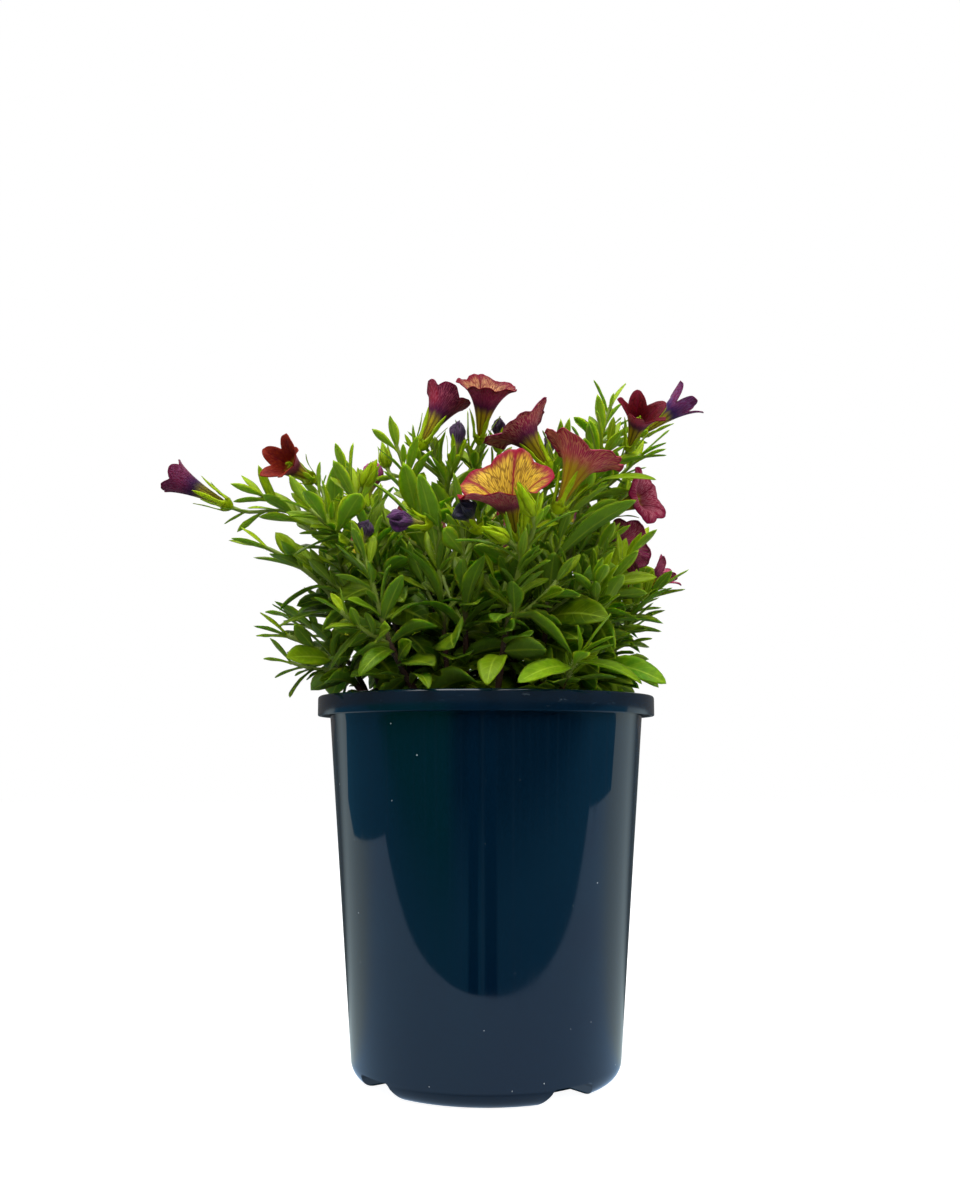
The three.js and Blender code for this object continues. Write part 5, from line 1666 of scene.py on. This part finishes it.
@dataclass
class Calyx:
    """A flower stalk with its calyx: a cup and five sepals about a bloom, or a shut green bud."""

    axis: Axis
    frame: BloomFrame
    tooth: float
    reach: float
    shut: bool = False
    floor: float = 1.9
    cup: float = 4.0
    radius: float = 3.2
    wall: float = 0.8

    def samples(self) -> Array:
        """Points along the stalk and over the teeth."""
        v, angle = np.meshgrid([0.1, 0.4, 0.7, 1.0], circle(10), indexing="ij")
        teeth = self.frame.place(self.cup + self.tooth * v, mix(self.radius, self.reach, v), angle)
        return np.concatenate([self.axis.samples()[0], teeth.reshape(-1, 3)])

    def stalk(self) -> Patch:
        """The stalk, swollen a little at its top."""
        rows = max(5, int(self.axis.length / 3))
        return self.axis.tube(STEM_SKIN, 6, rows, np.full(rows, 0.1), 0.2 * np.linspace(0, 1, rows) ** 4)

    def bowl(self) -> Patch:
        """The cup: out over its ribbed side, over its lip and down to its floor."""
        height = np.array([-0.4, 0.0, 0.9, 2.0, 3.1, 4.0, 4.1, 3.6, 2.6])
        radius = np.array([0.7, 0.95, 2.0, 2.75, 3.1, 3.2, 2.7, 2.3, 1.4])
        turn = circle(20)
        ribs = 1 + 0.05 * np.cos(5 * turn + np.pi)
        rings = self.frame.place(height[:, None], radius[:, None] * ribs, turn[None] * np.ones((9, 1)))
        marks = {"age": 0.1, "tone": 0.1, "across": 1.0, "along": 0.3, "under": 0.0}
        return skins(rings[None], LEAF, None, self.frame.centre(self.floor), **marks)

    def five(
        self, s: Array, height: Array, radius: Array, half: Array, cup: float, tip: Pair, age: float,
        tone: Array,
    ) -> Patch:
        """Five sepals, whose cross-sections stand at even angles round the axis.

        Args:
            s: The share along the sepal of each cross-section.
            height: Its height.
            radius: Its distance from the axis.
            half: Half its width.
            cup: How far its edges turn in, as a share of half the width.
            tip: How far the tip is above the last cross-section, and how far outside it.
            age: The age mark.
            tone: The tone mark of each sepal.

        Returns:
            The patch.
        """
        _, u, lift, under = SEPAL.grids()
        angle = circle(5, 0.5)[:, None, None]
        out = around(self.frame.x, self.frame.y, angle)
        across = around(self.frame.y, -self.frame.x, angle)
        rings = self.frame.place(height, radius, angle) + across * spread(u * half)
        rings = rings + out * spread(lift - cup * u * u * half)
        ends = self.frame.place(height[:, -1, 0] + tip[0], radius[:, -1, 0] + tip[1], angle[:, 0, 0])
        marks = {"age": age, "tone": tone, "across": u[None], "along": s, "under": under[None]}
        return skins(rings, LEAF, None, ends, **marks)

    def sepals(self, rng: np.random.Generator) -> Patch:
        """Five leaf-like sepals.

        Each runs straight from the cup's lip to the tooth's tip, then flares out. Its half width is 1.6 mm
        at the cup, less in the middle and rounded to a point, and it is cupped about the corolla.
        """
        s = SEPAL.grids()[0][None]
        flare = rng.uniform(0.2, 2.4, (5, 1, 1))
        reach = rng.uniform(0.86, 1.1, (5, 1, 1))
        height = mix(self.cup - 1.2, self.cup + self.tooth * reach, s) - 0.2 * flare * s**3
        radius = mix(self.radius - 0.25, self.reach, s) + flare * s**3 + 0.15
        half = 1.6 * (1 - 0.45 * np.sin(np.pi * np.minimum(s * 1.7, 1)) ** 2) * (1 - s**2.2) ** 0.8
        return self.five(s, height, radius, half, 0.22, (0.5, 0.1), 0.12, rng.random((5, 1, 1)) * 0.3)

    @staticmethod
    def swell(v: Array) -> Array:
        """A shut bud's radius at v: widest at 0.35 of its length, and drawn to a point."""
        return np.interp(v, [0, 0.12, 0.35, 0.75, 1.0], [0.8, 2.2, 3.0, 1.6, 0.15])

    def wraps(self, rng: np.random.Generator) -> Patch:
        """The five sepals that hug a shut bud, their tips curled out by 0.8 to 2.2 mm."""
        s = np.maximum(SEPAL.grids()[0][None], 0.02)
        reach = rng.uniform(0.8, 1.0, (5, 1, 1))
        radius = self.swell(s * 0.9) + 0.25 + rng.uniform(0.8, 2.2, (5, 1, 1)) * s**5
        half = (0.62 * self.swell(s * 0.9) + 0.2) * (1 - s**3) ** 0.8
        height = self.frame.length * s * reach
        return self.five(s, height, radius, half, 0.3, (0.4, 0.3), 0.2, rng.random((5, 1, 1)) * 0.3)

    def bud(self) -> Patch:
        """A shut bud's ridged core."""
        v = np.array([0.0, 0.08, 0.18, 0.3, 0.42, 0.55, 0.68, 0.8, 0.9, 0.97])
        radius = 0.9 * self.swell(v)
        turn = circle(20)
        twist = turn[None] + 0.5 * v[:, None]
        ridges = 1 + 0.09 * np.cos(5 * turn)[None]
        rings = self.frame.place(v[:, None] * self.frame.length, radius[:, None] * ridges, twist)
        across = np.abs(np.sin(2.5 * turn))[None, None]
        marks = {"age": 0.0, "tone": 0.1, "across": across, "along": v[None, :, None], "under": 0.0}
        return skins(rings[None], LEAF, None, self.frame.centre(self.frame.length), **marks)

    def patches(self, rng: np.random.Generator) -> list[Patch]:
        """The stalk with its bud, or with its cup and sepals."""
        if self.shut:
            return [self.stalk(), self.bud(), self.wraps(rng)]
        return [self.stalk(), self.bowl(), self.sepals(rng)]


def calyx_for(flower: Flower, axis: Axis) -> Calyx:
    """The calyx of a bloom.

    Its teeth are 0.42 of the bloom long, and stand as wide as they must to clear the corolla within them: at
    each height the line from the cup's lip to a tooth's tip is outside 1.12 times the corolla's radius.
    """
    tooth = 0.42 * flower.frame.length
    inner = (Calyx.radius - Calyx.wall) * math.cos(math.pi / 5)
    radius, height = flower.profile(FINE_ROWS)
    share = (height - Calyx.cup) / tooth
    beside = (share > 0) & (share <= 1)
    needs = (1.12 * radius[beside] + 2 * PottingMix.gap - inner * (1 - share[beside])) / share[beside]
    return Calyx(axis, flower.frame, tooth, max([Calyx.radius + 1, *needs]))


def pedicel_axis(stem: Axis, frame: BloomFrame, t: float) -> Axis:
    """The flower stalk's axis, from its stem at t to the foot of the calyx."""
    at, along, _, _ = stem.frame(t)
    reach = float(np.linalg.norm(at - frame.base))
    points = [at, at + along * 0.35 * reach, frame.base + frame.way * -0.4 * reach, frame.base]
    return Axis(points, (HABIT.pedicel_radius, HABIT.pedicel_radius), frame.x)


# ---- The leafy stems ----


@dataclass(frozen=True)
class Filling:
    """How more leaves fill a stretch of a stem, from its tip down.

    The stretch starts a distance and a share below the tip and ends at a share. The gap is from leaf to
    leaf. The size, the width and the curl scale a leaf's plan. The size's pair is the range of a draw, and
    the opening's is for a young leaf and an old one. Stalks are true where it is the flower stalks that are
    filled, and not the stems.
    """

    start: float
    skip: float
    end: float
    gap: float
    size: Pair
    opening_deg: Pair
    width: float
    curl: float
    roll_deg: float
    seed: int
    stalks: bool = False


FILLINGS = [Filling(*row) for row in (
    (2.2, 0.0, 0.3, 1.7, (0.5, 0.85), (22, 60), 0.75, 1.2, 60, 40009, True),
    (4.0, 0.15, 0.85, 2.8, (0.7, 1.1), (20, 60), 0.9, 1.2, 50, 41011, True),
    (0.3, 0.0, 0.24, 2.1, (0.85, 1.3), (14, 48), 1.0, 1.0, 25, 50021),
    (0.0, 0.45, 1.0, 3.6, (0.95, 1.4), (55, 100), 1.4, 1.6, 60, 60029),
    (4.0, 0.05, 0.5, 3.4, (0.85, 1.2), (16, 44), 1.15, 1.0, 30, 95063),
    (6.0, 0.1, 0.7, 6.0, (0.8, 1.2), (36, 80), 1.3, 1.3, 50, 70039),
    (0.0, 0.4, 1.0, 2.6, (0.5, 0.85), (40, 105), 1.35, 1.4, 80, 80051),
    (3.0, 0.0, 0.5, 4.4, (0.45, 0.65), (28, 60), 1.1, 1.0, 40, 90053),
)]
# The stems that stay loose, and how many times as far apart their leaves are.
LOOSE = {0: 2.4, 1: 1.6, 2: 2.2, 5: 2.2, 9: 2.2, 31: 2.2, 21: 1.8, 19: 2.2, 30: 2.4, 4: 1.4, 6: 1.3, 11: 1.3}


@dataclass(frozen=True)
class Shade:
    """Painted shade: how far the leaves' colour is darkened, as if the plant shaded itself. It starts below
    the top, is whole a depth lower, and fades over the edge at its reach from the middle, which lies to the
    left of the pot's axis."""

    reach: float
    top: float = 232.0
    depth: float = 42.0
    left: float = 12.0
    edge: float = 22.0

    def on(self, middle: Array) -> Array:
        """How much painted shade each leaf gets, from its middle: up to 1.15 low down, and a fifth of that
        past the reach."""
        low = np.clip((self.top - middle[:, 2]) / self.depth, 0, 1.15)
        away = np.hypot(middle[:, 0] + self.left, middle[:, 1])
        return low * np.clip((self.reach - away) / self.edge, 0.2, 1)


@dataclass
class LeafyStem:
    """A main stem with its side shoots, flower stalks, calyces and leaves."""

    owner: int
    row: StemRow
    axis: Axis = field(init=False)
    shoots: list[Axis] = field(default_factory=list)
    calyces: list[Calyx] = field(default_factory=list)
    leaves: list[Leaf] = field(default_factory=list)
    more: list[Leaf] = field(default_factory=list)
    places: list[tuple] = field(default_factory=list)
    hairs: int = 170
    hair_radius: float = 0.07

    def __post_init__(self) -> None:
        """Works out the axis."""
        self.axis = stem_axis(self.row)

    def hang(self, space: Space, frame: BloomFrame, make: Callable[[Axis], Calyx]) -> None:
        """Hangs a flower stalk and its calyx on the stem, and keeps their space."""
        t = HABIT.pedicel_start - HABIT.pedicel_apart * len(self.calyces)
        calyx = make(pedicel_axis(self.axis, frame, t))
        self.calyces.append(calyx)
        space.hold(Held.STEMS, calyx.samples(), self.owner)

    def claim(self, space: Space, leaf: Leaf) -> bool:
        """Keeps a leaf and its space if all of it is free."""
        points, s = leaf.samples()
        if not space.free(points, s, self.owner):
            return False
        space.hold(Held.LEAVES, points, self.owner)
        self.leaves.append(leaf)
        return True

    def shoot(self, space: Space, draws: Draws) -> None:
        """Grows the side shoots, each turned aside until it is clear."""
        for i in range(self.row.shoots):
            t = mix(*HABIT.shoots_from, (i + draws.one()) / self.row.shoots)
            turn = FULL_TURN * draws.one()
            length = draws.between(*HABIT.shoot_length)
            for aside in TRIES:
                axis = shoot_axis(self.axis, t, turn + aside, length)
                if space.free(*axis.samples(0.15), self.owner):
                    space.hold(Held.STEMS, axis.samples()[0], self.owner)
                    self.shoots.append(axis)
                    break

    def plan(self, axis: Axis, size: float, bare: float, draws: Draws) -> None:
        """Plans the leaves along an axis from its tip down: two at the tip, then one at each node."""
        turn = FULL_TURN * draws.one()
        for side in (0.0, math.pi):
            opening = math.radians(draws.between(*HABIT.tip_opening_deg))
            self.places.append((axis, 0.98, turn + side, {**leaf_plan(0, size, draws), "opening": opening}))
        down = HABIT.first_node
        while down < axis.length - bare:
            age = min(down / HABIT.old_at, 1)
            turn += HABIT.golden_turn
            self.places.append((axis, 1 - down / axis.length, turn, leaf_plan(age, size, draws)))
            down += mix(*HABIT.spacing, age) * draws.between(0.9, 1.1)

    def settle(self, space: Space, rank: int) -> None:
        """Puts the leaf of that rank where it fits, turned aside if it has to be, or nowhere."""
        if rank < len(self.places):
            axis, t, turn, plan = self.places[rank]
            for aside in TRIES:
                if self.claim(space, leaf_on(axis, t, turn + aside, plan)):
                    return

    def crowd(self, space: Space, filling: Filling) -> None:
        """Fills the room that is left along the axes with more leaves, each turned aside until it fits."""
        draws = Draws(filling.seed + HABIT.seed_step * self.owner)
        loose = LOOSE.get(self.owner, 1.0)
        gap = filling.gap * (loose if filling.end > 0.3 else loose**0.6)
        axes = [calyx.axis for calyx in self.calyces] if filling.stalks else [self.axis, *self.shoots]
        for axis in axes:
            down = filling.start + filling.skip * axis.length
            last = min(axis.length * filling.end, axis.length - 3.0)
            turn = 6.0 * draws.one()
            while down < last:
                age = min(down / HABIT.old_at, 1)
                turn += HABIT.golden_turn
                plan = leaf_plan(age, draws.between(*filling.size), draws)
                plan["opening"] = math.radians(mix(*filling.opening_deg, age) + draws.between(-16, 16))
                plan["width"] *= filling.width
                plan["curl"] *= filling.curl
                roll = math.radians(filling.roll_deg) * draws.between(-1, 1)
                for aside in TRIES:
                    leaf = leaf_on(axis, 1 - down / axis.length, turn + aside, plan).rolled(roll)
                    if space.fit(*leaf.samples(), self.owner):
                        self.more.append(leaf)
                        break
                down += gap * draws.between(0.7, 1.3)

    def foliage(self, leaves: list[Leaf], section: Section, shade: Shade, rng: np.random.Generator) -> Patch:
        """Blades as one patch.

        The edges ripple by up to 6% of the width, as the sine of the share along the blade. Near the root the
        blade is thicker.

        Args:
            leaves: The leaves.
            section: The points round a cross-section and the places of the cross-sections.
            shade: The painted shade that darkens their colour.
            rng: The draws for ripples and tones.

        Returns:
            The patch.
        """
        s, u, upper, under = section.grids()
        thick = 1 + 1.4 * (1 - s) ** 6
        rings, tips = [], []
        for leaf in leaves:
            phase, waves = rng.uniform(0, 6.3), rng.uniform(1.0, 2.2)
            depth = rng.uniform(0.01, 0.06) * leaf.width
            ripple = depth * u * u * np.sin(2 * np.pi * waves * s + phase + np.sign(u)) * np.sin(np.pi * s)
            rings.append(leaf.point(s, u, upper * thick + ripple))
            tips.append(leaf.point(np.array([1.0]), np.array([0.0]))[0])
        age = np.array([leaf.age for leaf in leaves])[:, None, None]
        middle = np.array([leaf.point(np.array([0.5]), np.array([0.0]))[0] for leaf in leaves])
        marks = {
            "age": np.clip(age + rng.normal(0, 0.12, age.shape), 0, 1),
            # The tone mark is a random tone plus painted shade, deepest low down and inside the plant.
            "tone": np.clip(rng.random(age.shape) ** 2 * 0.7 + shade.on(middle)[:, None, None], 0, 1),
            "across": u[None],
            "along": s[None],
            "under": under[None],
        }
        return skins(np.array(rings), LEAF, None, np.array(tips), **marks)

    def woody(self) -> list[Patch]:
        """The main stem, from the foot of its hole to its tip and swollen at its nodes, and the shoots."""
        rows = int(self.axis.length / 2.5)
        t = np.linspace(0, 1, rows)
        at, _, across, over = self.axis.frame(t)
        turn = circle(8)
        radius = mix(*self.axis.radii, t) * (0.93 + 0.09 * np.sin(t * self.axis.length / 2.1))
        out = around(across[:, None], over[:, None], turn[None])
        rings = at[:, None] + out * radius[:, None, None]
        drop = np.array([HABIT.hole_depth, 6.0, 3.0])[:, None, None] * UP
        rings = np.concatenate([rings[:1] - drop, rings])
        age = np.concatenate([[1.0, 1.0, 1.0], 1 - t * 1.05])
        stem = skins(rings[None], STEM_SKIN, age=age[None, :, None], along=0.0)
        shoots = [shoot.tube(STEM_SKIN, 6, 10, np.linspace(0.35, 0.0, 10)) for shoot in self.shoots]
        return [stem, *shoots]

    def hair(self, rng: np.random.Generator) -> Patch:
        """Fine hairs that stand off the upper stem: three-sided points 0.6 to 1.4 mm long."""
        lengths = np.array([self.axis.length, *(s.length for s in self.shoots)])
        counts = (self.hairs * lengths / lengths.sum()).astype(int)
        feet, outs, alongs = [], [], []
        for axis, count in zip([self.axis, *self.shoots], counts):
            t = 1 - rng.random(count) ** 1.3 * 0.95
            at, along, across, over = axis.frame(t)
            out = around(across, over, rng.random(count) * FULL_TURN)
            feet.append(at + out * (mix(*axis.radii, t) * 0.85)[:, None])
            outs.append(out)
            alongs.append(along)
        feet, out, along = (np.concatenate(parts) for parts in (feet, outs, alongs))
        way = unit(out + along * rng.normal(0, 0.35, (len(out), 1)))
        length = rng.uniform(0.6, 1.4, (len(out), 1))
        side = np.cross(way, along)
        ring = feet[:, None] + around(along[:, None], side[:, None], circle(3)[None]) * self.hair_radius
        return skins(ring[:, None], HAIR, feet - out * 0.1, feet + way * length)

    def build(self) -> None:
        """Builds the stem as one piece and dresses it."""
        rng = np.random.default_rng(900 + self.owner)
        # Painted shade darkens the leaves low down and inside the plant.
        patches = [*self.woody(), self.foliage(self.leaves, FINE, Shade(76.0), rng), self.hair(rng)]
        patches.append(self.foliage(self.more, PLAIN, Shade(90.0), rng))
        for calyx in self.calyces:
            patches += calyx.patches(rng)
        name = f"{self.owner + 1:02d}"
        seat(new_mesh(f"stem_and_leaves_{name}", patches), f"leafy_stem_{name}")


@dataclass
class Plant:
    """The whole plant: its leafy stems, blooms and faded blooms, with nothing in anything else's way."""

    space: Space = field(default_factory=Space)
    stems: list[LeafyStem] = field(default_factory=lambda: [LeafyStem(i, row) for i, row in enumerate(STEMS)])
    corollas: list[Corolla] = field(default_factory=lambda: [Corolla(row) for row in BLOOMS])
    faded: list[FadedBloom] = field(default_factory=lambda: [FadedBloom(row) for row in FADED])

    def flower(self) -> None:
        """Places the blooms, the faded ones and the green buds, each on its stalk."""
        for flower in [*self.corollas, *self.faded]:
            make = lambda axis, flower=flower: calyx_for(flower, axis)
            self.stems[flower.row.stem].hang(self.space, flower.frame, make)
            self.space.hold(Held.BLOOMS, flower.samples(), 0)
        for row in GREEN_BUDS:
            frame = BloomFrame.of(row.base, row.mouth)
            make = lambda axis, frame=frame: Calyx(axis, frame, frame.length - Calyx.cup, 0.0, True)
            self.stems[row.stem].hang(self.space, frame, make)

    def grow(self) -> None:
        """Lays out the stems, flowers, key leaves and shoots, then the leaves by rank and the small ones."""
        for stem in self.stems:
            self.space.hold(Held.STEMS, stem.axis.samples()[0], stem.owner)
        self.flower()
        for row in KEY_LEAVES:
            stem = self.stems[row.stem]
            stem.claim(self.space, leaf_to(stem.axis, row))
        for stem in self.stems:
            draws = Draws(HABIT.first_seed + HABIT.seed_step * stem.owner)
            stem.shoot(self.space, draws)
            stem.plan(stem.axis, 1.0, HABIT.bare_length, draws)
            for shoot in stem.shoots:
                stem.plan(shoot, HABIT.shoot_size, HABIT.shoot_bare, draws)
        for rank in range(max(len(stem.places) for stem in self.stems)):
            for stem in self.stems:
                stem.settle(self.space, rank)
        for filling in FILLINGS:
            for stem in self.stems:
                stem.crowd(self.space, filling)
        main = sum(len(stem.leaves) for stem in self.stems)
        added = sum(len(stem.more) for stem in self.stems)
        LOG.info("plant: %d main leaves and %d more", main, added)

    def build(self) -> None:
        """Grows the plant and builds every piece of it."""
        self.grow()
        for stem in self.stems:
            stem.build()
        kinds = (
            (self.corollas, "corolla", "bloom", "petals"),
            (self.faded, "spent_bloom", "faded_bloom", "faded_petals"),
        )
        for flowers, name, node, slot in kinds:
            for i, flower in enumerate(flowers, 1):
                seat(new_mesh(f"{name}_{i:02d}", flower.patches()), f"{node}_{i:02d}")


# ---- The studio ----


@dataclass(frozen=True)
class FloorFinish(Finish):
    """A plain pale floor, that glows a little to the camera so that it stays white to the edge."""

    name: str = "pale_floor"
    colour: Colour = (0.4, 0.4, 0.4)
    other: Colour = (0.38, 0.38, 0.39)
    glow: float = 0.95

    def wire(self, net: Net) -> None:
        """A matt pale colour with a faint grain, and a white glow that only the camera sees."""
        seen = net.add("ShaderNodeLightPath").outputs["Is Camera Ray"]
        net.shade(
            Roughness=0.8, Specular_IOR_Level=0.2, Emission_Color=(1.0, 1.0, 1.0),
            Emission_Strength=net.times(seen, self.glow),
            Base_Color=Effects.mottle(net, self.colour, self.other, 40.0, 0.3),
        )


@dataclass(frozen=True)
class PaintedTableReflectionFinish(Finish):
    """A painted reflection of a table, seen only by the pot's gloss: blue-grey before the pot, greyer beside
    it, dark behind it.
    """

    name: str = "painted_table_reflection"
    colour: Colour = (0.46, 0.70, 1.0)
    patch: Colour = (0.46, 0.62, 0.88)
    beside: Colour = (0.58, 0.72, 0.76)
    behind: Colour = (0.08, 0.1, 0.11)

    def wire(self, net: Net) -> None:
        """A mottled glow of painted reflection that changes with the turn about the pot, from its side to its
        back. It shows at a shallow angle and goes out from above, but for a ring of painted reflection by the
        pot's foot."""
        x, y, _ = net.parts(net.place())
        turn = net.math("ARCTAN2", y, net.math("ABSOLUTE", x))
        front = Effects.mottle(net, self.colour, self.patch, 5.0, 0.6)
        glow = net.blend(net.ramp(turn, -0.1, 0.3), front, self.beside)
        glow = net.blend(net.ramp(turn, 0.66, 1.0), glow, self.behind)
        shallow = net.add("ShaderNodeLayerWeight", {"Blend": 0.5}).outputs["Facing"]
        reach = net.add("ShaderNodeVectorMath", {0: net.place()}, operation="LENGTH").outputs["Value"]
        ring = net.times(net.ramp(reach, 0.064, 0.056), 0.75)
        net.shade(
            Base_Color=(0.0, 0.0, 0.0), Specular_IOR_Level=0.0, Emission_Color=glow,
            Emission_Strength=net.math("MAXIMUM", net.ramp(shallow, 0.08, 0.5), ring),
        )


@dataclass(frozen=True)
class PaintedDarkReflectionFinish(Finish):
    """A painted reflection past the table's edges, seen only by the pot's gloss: a dark ground, greener to
    the left, with streaks.
    """

    name: str = "painted_dark_reflection"
    near: Colour = (0.05, 0.2, 0.34)
    far: Colour = (0.0, 0.0, 0.0)
    green: Colour = (0.0, 0.16, 0.08)
    streak: Colour = (0.0, 0.02, 0.06)
    band: Colour = (0.12, 0.2, 0.3)

    def wire(self, net: Net) -> None:
        """The painted reflection's glow fades with the distance from the table. Two streaks run straight away
        from the pot.
        """
        x, y, _ = net.parts(net.place())
        ahead = net.times(y, -1.0)
        glow = net.blend(net.ramp(ahead, 0.18, 0.75), self.near, self.far)
        aside = net.math("DIVIDE", x, ahead)
        leftward = net.times(net.ramp(aside, -0.3, -0.6), net.ramp(ahead, 0.1, 0.5))
        glow = net.blend(leftward, glow, self.green)
        turn = net.add("ShaderNodeCombineXYZ", {0: net.math("ARCTAN2", y, x)}).outputs[0]
        glow = net.over(net.ramp(net.noise(turn, 14.0, 3.0), 0.5, 0.72), 0.5, glow, self.band)
        first = net.times(net.ramp(aside, -0.24, -0.2), net.ramp(aside, -0.09, -0.11))
        second = net.times(net.ramp(aside, -0.03, -0.01), net.ramp(aside, 0.14, 0.11))
        glow = net.blend(net.math("MAXIMUM", first, second), glow, self.streak)
        net.shade(
            Base_Color=(0.0, 0.0, 0.0), Specular_IOR_Level=0.0, Emission_Color=glow, Emission_Strength=1.0
        )


@dataclass(frozen=True)
class Softbox:
    """An area light: its place, the point it faces, its width and height, its power and if gloss shows it."""

    name: str
    place: Point
    aim: Point
    size: Pair
    power: float
    mirrored: bool = True

    def build(self) -> None:
        """Sets the light up, in metres."""
        light = bpy.data.lights.new(self.name, "AREA")
        light.shape, light.energy = "RECTANGLE", self.power
        light.size, light.size_y = self.size
        lamp = bpy.data.objects.new(self.name, light)
        lamp.location, lamp.visible_glossy = self.place, self.mirrored
        lamp.rotation_euler = (Vector(self.aim) - Vector(self.place)).to_track_quat("-Z", "Y").to_euler()
        bpy.context.scene.collection.objects.link(lamp)


@dataclass(frozen=True)
class Studio:
    """The floor, the two sheets of painted reflection, the lights, the sky and the camera, in metres."""

    eye: Point = (-0.0025, -0.5185, 0.1275)
    pitch_deg: float = 7.28
    lens: float = 36.91
    floor_size: float = 6.0
    # The outline of the sheet that paints the table's reflection in the pot.
    table: tuple[Pair, ...] = (
        (-12.0, 12.0), (-12.0, 7.2), (-0.994, 0.681), (-0.691, 0.34), (-0.597, -0.126), (-0.3, -0.155),
        (-0.1, -0.173), (0.0, -0.174), (0.11, -0.164), (0.3, -0.147), (0.753, -0.143), (1.046, 0.244),
        (12.0, 4.1), (12.0, 12.0),
    )
    softboxes: tuple[Softbox, ...] = (
        Softbox("overhead_softbox", (-0.15, -0.3, 1.25), (0.0, 0.0, 0.2), (1.1, 1.1), 19.5),
        Softbox("left_softbox", (-1.1, -0.55, 0.7), (0.0, 0.0, 0.18), (0.7, 1.0), 2.2, False),
        Softbox("right_softbox", (1.15, -0.35, 0.7), (0.0, 0.0, 0.18), (0.7, 1.0), 11.0, False),
        Softbox("front_softbox", (0.1, -1.3, 0.75), (0.0, 0.0, 0.2), (1.0, 0.6), 4.6, False),
        Softbox("back_softbox", (0.0, 1.1, 0.9), (0.0, 0.0, 0.2), (1.0, 0.8), 3.0),
    )

    def sheet(self, name: str, outline: Array, height: float, finish: Finish) -> bpy.types.Object:
        """A flat sheet over an outline, at a height, in metres."""
        corners = [(x, y, height) for x, y in outline]
        mesh = bpy.data.meshes.new(name)
        mesh.from_pydata(corners, [], [tuple(range(len(corners)))])
        mesh.materials.append(finish.material())
        obj = bpy.data.objects.new(name, mesh)
        bpy.context.scene.collection.objects.link(obj)
        return obj

    def ground(self) -> None:
        """The floor, and a hair above it the two glowing sheets of painted reflection that only the pot's
        gloss sees.
        """
        half = self.floor_size / 2
        square = [(-half, -half), (half, -half), (half, half), (-half, half)]
        self.sheet("studio_floor", square, -0.0002, FloorFinish())
        wide = [(4 * x, 4 * y) for x, y in square]
        # Glowing sheets that paint the pot's reflections of a dark ground and a table.
        sheets = [
            self.sheet("painted_dark_reflection_sheet", wide, 0.0004, PaintedDarkReflectionFinish()),
            self.sheet("painted_table_reflection_sheet", self.table[::-1], 0.0008, PaintedTableReflectionFinish()),
        ]
        for sheet in sheets:
            sheet.visible_camera = sheet.visible_diffuse = sheet.visible_shadow = False
            sheet.visible_transmission = sheet.visible_volume_scatter = False

    def sky(self) -> None:
        """A world that is white to the camera, dim to gloss and soft white to everything else."""
        world = bpy.data.worlds.new("studio_white")
        world.use_nodes = True
        bpy.context.scene.world = world
        net = Net(world.node_tree)
        rays = net.add("ShaderNodeLightPath").outputs
        level = net.math("MULTIPLY_ADD", rays["Is Glossy Ray"], -0.06, 0.2)
        level = net.math("MAXIMUM", level, rays["Is Camera Ray"])
        background = world.node_tree.nodes["Background"]
        net.feed(background.inputs["Color"], (1.0, 1.0, 1.0))
        net.feed(background.inputs["Strength"], level)

    def camera(self) -> None:
        """The camera, level but for its pitch, with the sensor on the frame's long side."""
        data = bpy.data.cameras.new("camera")
        data.lens, data.sensor_width = self.lens, 36.0
        data.clip_start, data.clip_end = 0.01, 20.0
        camera = bpy.data.objects.new("camera", data)
        camera.location = self.eye
        camera.rotation_euler = Euler((math.radians(90 + self.pitch_deg), 0.0, 0.0))
        bpy.context.scene.collection.objects.link(camera)
        bpy.context.scene.camera = camera

    def build(self) -> None:
        """Sets everything up."""
        bpy.context.scene.view_settings.view_transform = "Standard"
        self.ground()
        self.sky()
        self.camera()
        for softbox in self.softboxes:
            softbox.build()


def main() -> None:
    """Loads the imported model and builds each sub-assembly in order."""
    logging.basicConfig(level=logging.INFO, format="%(name)s: %(message)s")
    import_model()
    POT.build()
    PottingMix().build()
    Plant().build()
    Studio().build()
    bpy.context.view_layer.update()
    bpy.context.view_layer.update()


if __name__ == "__main__":
    main()
